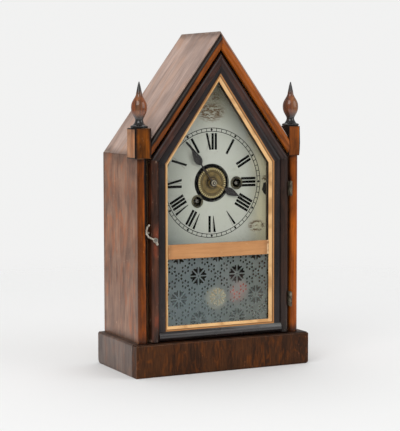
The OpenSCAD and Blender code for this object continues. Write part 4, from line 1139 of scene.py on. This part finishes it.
def carry_grain(mesh: bpy.types.Mesh, grain: Grain, seed: int) -> None:
    """Stores the place along, across and through the grain on each point, and its share of the piece's size.

    Args:
        mesh: Mesh to mark.
        grain: The way that the grain runs.
        seed: Number that moves the figure, so that no two pieces match.
    """
    along, across = (Vector(axis) for axis in grain.value)
    through = along.cross(across)
    shift = FIGURE_SHIFT * seed
    places = [(point.co.dot(along), point.co.dot(across), point.co.dot(through)) for point in mesh.vertices]
    lows, highs = [min(part) for part in zip(*places)], [max(part) for part in zip(*places)]
    grains = [part + move for place in places for part, move in zip(place, shift)]
    spans = [2 * (part - low) / (high - low) - 1 for place in places for part, low, high in zip(place, lows, highs)]
    for name, values in (("grain", grains), ("span", spans)):
        layer = mesh.attributes.new(name, "FLOAT_VECTOR", "POINT")
        layer.data.foreach_set("vector", values)


def flat_mesh(name: str, outlines: Sequence[Sequence[Flat]], front: float, thickness: float) -> bpy.types.Mesh:
    """Thin upright plates with outlines drawn across and up.

    Args:
        name: Name of the mesh.
        outlines: Corners of each plate in millimetres, counter-clockwise as seen from the front.
        front: Place of the front face along Y, in millimetres.
        thickness: Depth in millimetres.

    Returns:
        The mesh.
    """
    work = bmesh.new()
    for outline in outlines:
        near, far = ([work.verts.new((x * MM, y * MM, z * MM)) for x, z in outline]
                     for y in (front, front + thickness))
        work.faces.new(near)
        work.faces.new(reversed(far))
        for i in range(len(outline)):
            j = (i + 1) % len(outline)
            work.faces.new((near[j], near[i], far[i], far[j]))
    bmesh.ops.recalc_face_normals(work, faces=work.faces)
    mesh = bpy.data.meshes.new(name)
    work.to_mesh(mesh)
    work.free()
    return mesh


class Workshop:
    """Makes finished pieces and hands them to their bodies."""

    def __init__(self, frame: dict[str, Any]) -> None:
        """Keeps the frame and counts the pieces."""
        self.frame = frame
        self.count = 0

    def node(self, name: str) -> bpy.types.Object:
        """The CAD node of that name."""
        return self.frame["nodes"][name]

    def refined(self, name: str, slot: Slot, *finishes: Finish, soften: float = 0.0, grain: Grain | None = None,
                choose: Callable[[bpy.types.MeshPolygon], int] | None = None) -> None:
        """Makes a copy of a CAD node with softened edges, which stands for it.

        Args:
            name: Name of the node.
            slot: Its material slot; not used.
            finishes: Its finishes. The second, if there is one and none is chosen, goes on the softened edges.
            soften: Width of the softened edges in millimetres, or 0.
            grain: The way that the grain runs, for wood.
            choose: Picks the number of the finish for each face.
        """
        self.count += 1
        piece = self.made(f"{name}_piece", merged_copy(self.node(name)), *finishes)
        if soften:
            edge = piece.modifiers.new("soften", "BEVEL")
            edge.width = soften * MM
            edge.segments = 2
            edge.limit_method = "ANGLE"
            edge.angle_limit = math.radians(SOFT_ANGLE)
            edge.harden_normals = True
            edge.material = 1 if len(finishes) > 1 and choose is None else -1
            baked(piece)
        if grain:
            carry_grain(piece.data, grain, self.count)
        if choose:
            for face in piece.data.polygons:
                face.material_index = choose(face)
        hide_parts(name)
        self.fitted(piece, body_of(self.node(name))[0])

    def dressed(self, finish: Finish, *names: str) -> None:
        """Gives CAD nodes that stay as they are their finish.

        Args:
            finish: Their finish.
            names: Names of the nodes.
        """
        for name in names:
            materials = self.node(name).data.materials
            materials.clear()
            materials.append(finish.material())
            log.info("dressed %s with %s", name, finish.name)

    def made(self, name: str, mesh: bpy.types.Mesh, *finishes: Finish) -> bpy.types.Object:
        """Puts a mesh in the scene as a piece.

        Args:
            name: Name of the piece.
            mesh: Its mesh, in metres, in the clock's frame.
            finishes: Its finishes, in the order of the mesh's material numbers.

        Returns:
            The piece.
        """
        mesh.materials.clear()
        for finish in finishes:
            mesh.materials.append(finish.material())
        return put(name, mesh)

    def plates(self, name: str, outlines: Sequence[Sequence[Flat]], front: float, thickness: float,
               finish: Finish, body: str) -> None:
        """Adds thin plates, as flat_mesh takes them, with a finish to a body."""
        self.fitted(self.made(name, flat_mesh(name, outlines, front, thickness), finish), body)

    def fitted(self, piece: bpy.types.Object, body: str) -> None:
        """Lets a piece ride on a body.

        Args:
            piece: The piece.
            body: Name of the body.
        """
        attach(piece, body)
        log.info("made %s: %d faces on %s", piece.name, len(piece.data.polygons), body)


# Sub-assemblies


# Least share of a face's normal that points one way, for a face that leans, turns or looks squarely that way
LEANING = 0.3
TURNED = 0.5
SQUARE = 0.98


@dataclass
class Studio:
    """Camera, lamps, floor and white surroundings. The camera's places are in millimetres, the floor in metres."""

    eye: Place = (-724.54, -1474.96, 309.54)
    target: Place = (-1.26, 4.70, 168.63)
    roll: float = -0.10
    lens: float = 121.5
    sensor: float = 36.0
    clip_end: float = 50.0
    floor_size: float = 3.6
    pale: Colour = (0.885, 0.887, 0.887, 1.0)
    air: Colour = (1.0, 1.0, 0.995, 1.0)
    fade_from: float = 0.35
    fade_to: float = 1.2
    white: float = 0.885
    plain_light: float = 0.7
    gloss_light: float = 0.3

    def build(self) -> None:
        """Builds the whole studio."""
        self.camera()
        self.floor()
        self.surroundings()
        for name, place, size, power in (("key", (-1.5, -1.3, 1.7), 1.5, 16.0), ("fill", (1.5, -1.6, 1.0), 1.6, 9.0),
                                         ("top", (0.2, 0.5, 2.1), 1.4, 9.0)):
            self.lamp(name, place, size, power)

    def camera(self) -> None:
        """Places the camera of the photograph."""
        data = bpy.data.cameras.new("camera")
        data.sensor_fit = "VERTICAL"
        data.sensor_height = data.sensor_width = self.sensor
        data.lens = self.lens
        data.clip_end = self.clip_end
        camera = put("camera", data)
        eye, target = Vector(self.eye) * MM, Vector(self.target) * MM
        look = (target - eye).to_track_quat("-Z", "Y").to_matrix()
        camera.matrix_world = (Matrix.Translation(eye) @ look.to_4x4()
                               @ Matrix.Rotation(math.radians(self.roll), 4, "Z"))
        bpy.context.scene.camera = camera

    def floor(self) -> None:
        """Lays a pale floor that fades into the white surroundings."""
        mesh = bpy.data.meshes.new("floor")
        half = self.floor_size / 2
        mesh.from_pydata([(-half, -half, 0), (half, -half, 0), (half, half, 0), (-half, half, 0)], [], [(0, 1, 2, 3)])
        surface = Surface("pale_floor")
        away = surface.vector("LENGTH", surface.place())["Value"]
        surface.shader.feed(Base_Color=self.pale, Roughness=0.9, Specular_IOR_Level=0.1,
                            Alpha=away.band(self.fade_from, self.fade_to, 1.0, 0.0))
        mesh.materials.append(surface.material)
        put("floor", mesh)

    def surroundings(self) -> None:
        """Makes the world white for the camera and through glass, softer for light and dim in gloss."""
        world = bpy.data.worlds.new("white_room")
        world.use_nodes = True
        world.node_tree.nodes.clear()
        graph = Graph(world.node_tree)
        path = graph.node("ShaderNodeLightPath")
        seen = path["Is Camera Ray"].most(path["Is Transmission Ray"])
        dim = path["Is Glossy Ray"].band(0.0, 1.0, self.plain_light, self.gloss_light, Curve.STRAIGHT)
        light = graph.node("ShaderNodeBackground", Color=self.air,
                           Strength=seen.band(0.0, 1.0, dim, self.white, Curve.STRAIGHT))
        graph.node("ShaderNodeOutputWorld", Surface=light[0])
        bpy.context.scene.world = world

    def lamp(self, name: str, place: Place, size: float, power: float) -> None:
        """Adds a square area lamp that points at the middle of the clock.

        Args:
            name: Name of the lamp.
            place: Its place in metres.
            size: Side of the square in metres.
            power: Power in watts.
        """
        data = bpy.data.lights.new(name, "AREA")
        data.size, data.energy = size, power
        lamp = put(name, data)
        lamp.location = place
        lamp.rotation_mode = "QUATERNION"
        lamp.rotation_quaternion = (Vector(self.target) * MM - Vector(place)).to_track_quat("-Z", "Y")


@dataclass
class Case:
    """Boards, base box, uprights and mouldings. Widths of softened edges in millimetres."""

    soft: float = 0.5
    base_soft: float = 0.4
    inner_soft: float = 0.3
    round_soft: float = 0.15
    finial_foot: float = 6.0

    def build(self, shop: Workshop) -> None:
        """Builds every board of the case.

        Args:
            shop: Workshop that makes the pieces.
        """
        for side in ("left", "right"):
            shop.refined(f"side_{side}", Slot.VENEER, VENEER, grain=Grain.SIDE, soften=self.soft)
        # Roof undersides, the backboard's inner face and the floor board's upper face take the dark wood: painted
        # shade inside the case
        for side, slope in (("left", Grain.ROOF_LEFT), ("right", Grain.ROOF_RIGHT)):
            shop.refined(f"roof_{side}", Slot.VENEER, VENEER_ROOF_PAINTED_SHEEN, WOOD_PAINTED_SHADE, grain=slope, soften=self.soft,
                         choose=lambda face: int(face.normal.z < -LEANING))
        shop.refined("backboard", Slot.RAW_WOOD, RAW_WOOD, WOOD_PAINTED_SHADE, grain=Grain.UPRIGHT, soften=self.inner_soft,
                     choose=lambda face: int(face.normal.y < -TURNED))
        shop.refined("floor_board", Slot.RAW_WOOD, RAW_WOOD, WOOD_PAINTED_SHADE, grain=Grain.LEVEL, soften=self.inner_soft,
                     choose=lambda face: int(face.normal.z > TURNED))
        shop.refined("base_front", Slot.BASE_VENEER, BASE_VENEER, BASE_WORN, grain=Grain.UPRIGHT,
                     soften=self.base_soft)
        for side, pilaster, moulding, capital, slope in (
                ("left", PILASTER, MOULDING, CAPITAL, Grain.SLOPE_LEFT),
                ("right", PILASTER_RIGHT, MOULDING_RIGHT, CAPITAL_RIGHT, Grain.SLOPE_RIGHT)):
            shop.refined(f"base_side_{side}", Slot.BASE_VENEER, BASE_SIDE, BASE_WORN, grain=Grain.SIDE,
                         soften=self.base_soft)
            shop.refined(f"pilaster_{side}", Slot.MOULDING, pilaster, grain=Grain.UPRIGHT, soften=self.round_soft)
            shop.refined(f"gable_moulding_{side}", Slot.MOULDING, moulding, grain=slope, soften=self.round_soft)
            shop.refined(f"capital_{side}", Slot.CAPITAL_VENEER, capital, CAPITAL_PAINTED_SHADE, CAPITAL_SIDE_PAINTED_SHEEN,
                         grain=Grain.UPRIGHT, soften=self.soft, choose=self.capital_face)
        low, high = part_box("finials")
        turned = TurnedFinish("turned_wood", low.z + self.finial_foot * MM, high.z, "A85416",
                              "3A1A06", "141211")
        shop.refined("finials", Slot.TURNED_WOOD, turned, grain=Grain.UPRIGHT)

    @staticmethod
    def capital_face(face: bpy.types.MeshPolygon) -> int:
        """Picks a capital's front veneer, the left one's outer side with a painted sheen, or the rest with painted
        shade.

        Args:
            face: Face of a capital.

        Returns:
            Number of its finish.
        """
        if face.normal.y < -SQUARE:
            return 0
        return 2 if face.normal.x < -SQUARE and face.center.x < 0 else 1


@dataclass
class Door:
    """Door frame with two-coloured stiles, gilt slip, crossbar and panes. Sizes in millimetres and degrees."""

    band: float = 75.8
    gable_band: float = 22.7
    ridge: float = 375.0
    slip_w: float = 4.9
    slip_slope: float = 55.43
    sight_top: float = 320.08
    back_y: float = -36.3
    bead_w: float = 2.0
    bead_t: float = 2.4
    frost_gap: float = 0.05
    frost_t: float = 0.02
    frame_soft: float = 0.25
    slip_soft: float = 0.2

    def build(self, shop: Workshop) -> None:
        """Builds the door.

        Args:
            shop: Workshop that makes the pieces.
        """
        for side, band, slope in (("left", RED_BROWN, Grain.SLOPE_LEFT), ("right", BLACK_BROWN, Grain.SLOPE_RIGHT)):
            shop.refined(f"door_stile_{side}", Slot.EBONISED, band, BLACK, grain=Grain.UPRIGHT,
                         soften=self.frame_soft, choose=lambda face: int(abs(face.center.x) <= self.band * MM))
            shop.refined(f"door_gable_{side}", Slot.EBONISED, BLACK_WARM, BLACK, grain=slope,
                         soften=self.frame_soft,
                         choose=lambda face: int(self.below_roof(face.center) >= self.gable_band * MM))
        shop.refined("door_rail_bottom", Slot.EBONISED, BLACK_GLOSSY_PAINTED_SHEEN, grain=Grain.LEVEL, soften=self.frame_soft)
        shop.refined("crossbar", Slot.TAN_PAINT, TAN, grain=Grain.LEVEL, soften=self.slip_soft)
        shop.refined("gilt_slip", Slot.GILT, GILT, soften=self.slip_soft)
        shop.refined("upper_glass", Slot.GLASS, GLASS)
        shop.refined("lower_glass", Slot.ETCHED_GLASS, ETCHED)
        self.frost(shop)
        self.beads(shop)

    def below_roof(self, place: Vector) -> float:
        """Distance of a place below the roof's upper face, square to the slope, in metres."""
        along = Vector(Grain.SLOPE_LEFT.value[0])
        return (self.ridge * MM - place.z) * along.x - abs(place.x) * along.z

    def frost(self, shop: Workshop) -> None:
        """Lays the ground skin on the back of the lower pane.

        Args:
            shop: Workshop that makes the pieces.
        """
        low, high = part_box("lower_glass")
        corners = [(low.x, low.z), (high.x, low.z), (high.x, high.z), (low.x, high.z)]
        shop.plates("frost_skin", [[(x / MM, z / MM) for x, z in corners]], high.y / MM + self.frost_gap,
                    self.frost_t, FROST, "door")

    def beads(self, shop: Workshop) -> None:
        """Runs thin beads round the back of the opening, which hold the panes in, and whose dark paint is painted
        shade in the rebate.

        Args:
            shop: Workshop that makes the pieces.
        """
        low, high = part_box("gilt_slip")
        side, foot, top = high.x / MM - self.slip_w, low.z / MM + self.slip_w, self.sight_top
        slope = math.radians(self.slip_slope)
        shoulder = top - side * math.tan(slope)
        wide, rise = self.bead_w, self.bead_w / math.cos(slope)
        corner = shoulder + wide * math.tan(slope / 2)
        outlines = [[(-side - wide, foot - wide), (side + wide, foot - wide), (side, foot), (-side, foot)]]
        for s in (-1, 1):
            outlines.append([(s * side, foot), (s * (side + wide), foot - wide), (s * (side + wide), corner),
                             (s * side, shoulder)])
            outlines.append([(s * side, shoulder), (s * (side + wide), corner), (0.0, top + rise), (0.0, top)])
        shop.plates("glazing_beads", outlines, self.back_y, self.bead_t, BEAD_PAINTED_SHADE, "door")


@dataclass
class Dial:
    """Painted dial sheet with its printed track and numerals. Sizes in millimetres, the turn in degrees."""

    centre_z: float = 207.3
    face_y: float = -22.3
    print_t: float = 0.05
    track_out: float = 61.2
    track_in: float = 57.5
    line_w: float = 0.75
    numeral_in: float = 37.0
    numeral_out: float = 55.5
    bar_w: float = 2.9
    slant_w: float = 2.61
    foot_w: float = 0.7
    thin_w: float = 0.4
    thin_in: float = 0.35
    thin_out: float = 0.45
    pitch: float = 3.9
    v_pitch: float = 5.4
    x_pitch: float = 6.4
    inset: float = 1.0
    hole_r: float = 20.5
    ring_w: float = 0.9
    # Reach of the black sheet of painted shade inside and outside the dial's hole, and its thickness
    cloth_in: float = 3.6
    cloth_out: float = 2.0
    cloth_t: float = 0.2
    ring_parts: int = 72
    hour_turn: float = 30.0
    rail_soft: float = 0.3
    pin_soft: float = 0.15

    def build(self, shop: Workshop) -> None:
        """Builds the dial.

        Args:
            shop: Workshop that makes the pieces.
        """
        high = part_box("dial")[1]
        paint = DialFinish("dial_paint", "B0B1A5", "867E60", "5C4220", high.x,
                           self.centre_z * MM)
        shop.refined("dial", Slot.DIAL_PAINT, paint)
        shop.refined("dial_rails", Slot.RAW_WOOD, RAW_WOOD, grain=Grain.UPRIGHT, soften=self.rail_soft)
        shop.refined("dial_pins", Slot.BRASS, BRASS, soften=self.pin_soft)
        shop.refined("winding_grommets", Slot.BRASS, OLIVE_BRASS, soften=self.pin_soft)
        print_y = self.face_y - self.print_t
        # A black ring printed round the dial's hole, and behind the hole a black sheet of painted shade
        for name, inner, outer, front, thick in (
                ("dial_ring", self.hole_r, self.hole_r + self.ring_w, print_y, self.print_t),
                ("dial_hole_shade_sheet", self.hole_r - self.cloth_in, self.hole_r + self.cloth_out, high.y / MM,
                 self.cloth_t)):
            shop.plates(name, self.ring(inner, outer), front, thick, BLACK_PRINT_AND_SHADE, "case")
        bold, faint = self.strokes()
        for name, outlines, finish in (("numerals", bold, PRINT), ("thin_strokes", faint, FAINT_PRINT)):
            shop.plates(name, outlines, print_y, self.print_t, finish, "case")
        self.track(shop)

    def ring(self, inner: float, outer: float) -> list[list[Flat]]:
        """Outlines of the short plates that make up a ring.

        Args:
            inner: Radius of the opening.
            outer: Radius of the rim.

        Returns:
            The outlines, across and up in the clock's frame.
        """
        spots = [math.tau * i / self.ring_parts for i in range(self.ring_parts + 1)]
        return [[(r * math.sin(a), self.centre_z + r * math.cos(a))
                 for r, a in ((inner, one), (outer, one), (outer, two), (inner, two))]
                for one, two in zip(spots, spots[1:])]

    def stroke(self, hour: float, start: float, end: float, start_w: float, end_w: float) -> list[Flat]:
        """Outline of one tapered stroke of a numeral.

        Args:
            hour: Hour that the numeral stands at.
            start: Place of the inner end clockwise from the numeral's middle.
            end: Place of the outer end clockwise from the numeral's middle.
            start_w: Width at the inner end.
            end_w: Width at the outer end.

        Returns:
            Four corners, across and up in the clock's frame.
        """
        turn = math.radians(hour * self.hour_turn)
        corners = ((start - start_w / 2, self.numeral_in), (start + start_w / 2, self.numeral_in),
                   (end + end_w / 2, self.numeral_out), (end - end_w / 2, self.numeral_out))
        return [(out * math.sin(turn) + across * math.cos(turn),
                 self.centre_z + out * math.cos(turn) - across * math.sin(turn)) for across, out in corners]

    def strokes(self) -> tuple[list[list[Flat]], list[list[Flat]]]:
        """Draws the twelve numerals: bold strokes, and the thin strokes of V and X, which have worn faint.

        Returns:
            Outlines of the bold strokes, and of the faint ones.
        """
        words = ["XII", "I", "II", "III", "IIII", "V", "VI", "VII", "VIII", "IX", "X", "XI"]
        widths = {"I": self.pitch, "V": self.v_pitch, "X": self.x_pitch}
        bold: list[list[Flat]] = []
        faint: list[list[Flat]] = []
        for hour, word in enumerate(words):
            at = -sum(widths[letter] for letter in word) / 2
            for letter in word:
                middle = at + widths[letter] / 2
                half = widths[letter] / 2 - self.inset
                if letter == "I":
                    bold.append(self.stroke(hour, middle, middle, self.bar_w, self.bar_w))
                elif letter == "V":
                    bold.append(self.stroke(hour, middle, middle - half, self.foot_w, self.bar_w))
                    faint.append(self.stroke(hour, middle, middle + half, self.thin_in, self.thin_out))
                else:
                    bold.append(self.stroke(hour, middle + half, middle - half, self.slant_w, self.slant_w))
                    faint.append(self.stroke(hour, middle - half, middle + half, self.thin_w, self.thin_w))
                at += widths[letter]
        return bold, faint

    def track(self, shop: Workshop) -> None:
        """Prints the minute track: two thin rings, sixty ticks and twelve diamonds.

        Args:
            shop: Workshop that makes the pieces.
        """
        piece = shop.made("minute_track", bpy.data.meshes.new("minute_track"), PRINT)
        maker = piece.modifiers.new("maker", "NODES")
        maker.node_group, values = minute_track_tree(PRINT.material(), {
            "Outer Radius": self.track_out * MM, "Inner Radius": self.track_in * MM, "Line Width": self.line_w * MM,
            "Height": self.print_t * MM, "Ticks": 60, "Diamonds": 12,
            "Centre": (0.0, self.face_y * MM, self.centre_z * MM)})
        for identifier, value in values.items():
            maker[identifier] = value
        shop.fitted(baked(piece), "case")


DIAMOND_SHARE = 0.62
CIRCLE_POINTS = 180


def minute_track_tree(material: bpy.types.Material,
                      values: dict[str, Any]) -> tuple[bpy.types.NodeTree, dict[str, Any]]:
    """Geometry Nodes tree of the minute track.

    Args:
        material: Material of the print.
        values: Values of the tree's inputs by name.

    Returns:
        The tree, and the values by its sockets' identifiers.
    """
    tree = bpy.data.node_groups.new("minute_track", "GeometryNodeTree")
    tree.interface.new_socket("Geometry", in_out="OUTPUT", socket_type="NodeSocketGeometry")
    identified = add_sockets(tree, "INPUT", values)
    graph = Graph(tree)
    given, out = graph.node("NodeGroupInput"), graph.node("NodeGroupOutput")
    section = graph.node("GeometryNodeCurvePrimitiveQuadrilateral", Width=given["Line Width"],
                         Height=given["Height"])
    between = given["Outer Radius"] - given["Inner Radius"]
    middle = (given["Outer Radius"] + given["Inner Radius"]) * 0.5
    parts: list[Value] = []
    for key in ("Outer Radius", "Inner Radius"):
        ring = graph.node("GeometryNodeCurvePrimitiveCircle", Resolution=CIRCLE_POINTS, Radius=given[key])
        parts.append(graph.node("GeometryNodeCurveToMesh", Curve=ring[0], Profile_Curve=section[0])[0])
    share = between * DIAMOND_SHARE
    for count, long, wide, turn in ((given["Ticks"], between, given["Line Width"], 0.0),
                                    (given["Diamonds"], share, share, 45.0)):
        size = graph.node("ShaderNodeCombineXYZ", X=long, Y=wide, Z=given["Height"])
        block = graph.node("GeometryNodeMeshCube", Size=size[0])
        spun = graph.node("GeometryNodeTransform", Geometry=block[0], Rotation=(0.0, 0.0, math.radians(turn)))
        circle = graph.node("GeometryNodeMeshCircle", Vertices=count, Radius=middle)
        outward = graph.node("FunctionNodeAlignRotationToVector", {"axis": "X"},
                             Vector=graph.node("GeometryNodeInputPosition")[0])
        parts.append(graph.node("GeometryNodeInstanceOnPoints", Points=circle[0], Instance=spun[0],
                                Rotation=outward[0])[0])
    joined = graph.node("GeometryNodeJoinGeometry")
    for part in parts:
        joined.feed(n0=part)
    stood = graph.node("GeometryNodeTransform", Geometry=joined[0], Translation=given["Centre"],
                       Rotation=(math.radians(90), 0.0, 0.0))
    whole = graph.node("GeometryNodeRealizeInstances", Geometry=stood[0])
    out.feed(n0=graph.node("GeometryNodeSetMaterial", Geometry=whole[0], Material=material)[0])
    return tree, identified


@dataclass
class Hands:
    """Hands, alarm disc and the arbor's end. Sizes in millimetres."""

    centre: Place = (0.0, -26.0, 207.3)
    hand_soft: float = 0.12
    arbor_soft: float = 0.1
    minute_reach: float = 19.0
    hour_reach: float = 16.0

    def build(self, shop: Workshop) -> None:
        """Builds the hands.

        Args:
            shop: Workshop that makes the pieces.
        """
        centre = tuple(part * MM for part in self.centre)
        minute = SpotFinish("minute_hand_paint", "403022", "221F20", centre, self.minute_reach * MM)
        hour = SpotFinish("hour_hand_paint", "927642", "221F20", centre, self.hour_reach * MM)
        # The alarm disc's shaded middle is painted shade round the hub, and the hub's pale rings are painted
        # highlights
        disc = DiscFinish("alarm_disc_brass", "766134", "16120D", "C8B47E", centre,
                          (12.6,), rim=16.9, shaded=9.5)
        hub = DiscFinish("hub_steel", "4A4238", "141210", "BAAE98", centre,
                         (3.6, 2.6, 1.5, 0.4))
        shop.refined("minute_hand", Slot.BLUED_STEEL, minute, soften=self.hand_soft)
        shop.refined("hour_hand", Slot.BLUED_STEEL, hour, soften=self.hand_soft)
        shop.refined("alarm_disc", Slot.BRASS, disc, soften=self.hand_soft)
        shop.refined("centre_arbor", Slot.STEEL, hub, soften=self.arbor_soft)
        shop.dressed(BRASS, "hour_wheel", "centre_wheel")


@dataclass
class Movement:
    """Plates, wheels, springs and pendulum behind the dial, with the alarm's bell and hammer. In millimetres."""

    soft: float = 0.2
    block_soft: float = 0.3
    glow_right: float = 6.0
    glow_down: float = 7.0
    glow_reach: float = 14.0

    def build(self, shop: Workshop) -> None:
        """Dresses the movement.

        Args:
            shop: Workshop that makes the pieces.
        """
        shop.dressed(BRASS, "front_plate", "back_plate", "suspension_post", "minute_wheel", "main_wheel",
                     "third_wheel", "escape_wheel")
        shop.dressed(STEEL, "plate_pillars", "movement_screws", "verge", "alarm_hammer")
        shop.dressed(DARK_STEEL, "time_arbor", "alarm_arbor")
        shop.dressed(BLUED, "mainsprings")
        shop.refined("movement_blocks", Slot.RAW_WOOD, RAW_WOOD, grain=Grain.LEVEL, soften=self.block_soft)
        shop.refined("pendulum_rod", Slot.STEEL, STEEL)
        shop.refined("pendulum_bob", Slot.BRASS, BOB_METAL, soften=self.soft)
        # The bell is dark with a pink patch, partly its colour and partly painted light, and it glows faintly all
        # over: painted light
        low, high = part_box("alarm_bell")
        middle = (low + high) / 2
        spot = (middle.x + self.glow_right * MM, low.y, middle.z - self.glow_down * MM)
        bell = SpotFinish("bell_metal", "FF9688", "422E2A", spot, self.glow_reach * MM, 3.0,
                          metallic=0.0, glow=0.16)
        shop.refined("alarm_bell", Slot.BELL_METAL, bell, soften=self.soft)
        shop.refined("bell_post", Slot.STEEL, STEEL, soften=self.soft)


@dataclass
class Fittings:
    """Hinges and latch. Width of softened edges in millimetres."""

    soft: float = 0.1

    def build(self, shop: Workshop) -> None:
        """Builds the door's fittings.

        Args:
            shop: Workshop that makes the pieces.
        """
        for name, slot, finish in (
                ("hinge_case_leaves", Slot.BRASS, HINGE_BRASS), ("hinge_door_leaves", Slot.BRASS, HINGE_BRASS),
                ("hinge_pins", Slot.BRASS, HINGE_BRASS), ("latch_screw", Slot.STEEL, STEEL),
                ("catch_pin", Slot.BRASS, LATCH_METAL), ("latch_hook", Slot.BRASS, LATCH_METAL)):
            shop.refined(name, slot, finish, soften=self.soft)


def main() -> None:
    """Builds the clock and its studio."""
    logging.basicConfig(level=logging.INFO, format="%(name)s: %(message)s")
    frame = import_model()
    bpy.context.scene.view_settings.view_transform = "Standard"
    shop = Workshop(frame)
    Studio().build()
    Case().build(shop)
    Door().build(shop)
    Dial().build(shop)
    Hands().build(shop)
    Movement().build(shop)
    Fittings().build(shop)
    log.info("finished with %d refined pieces", shop.count)


if __name__ == "__main__":
    main()
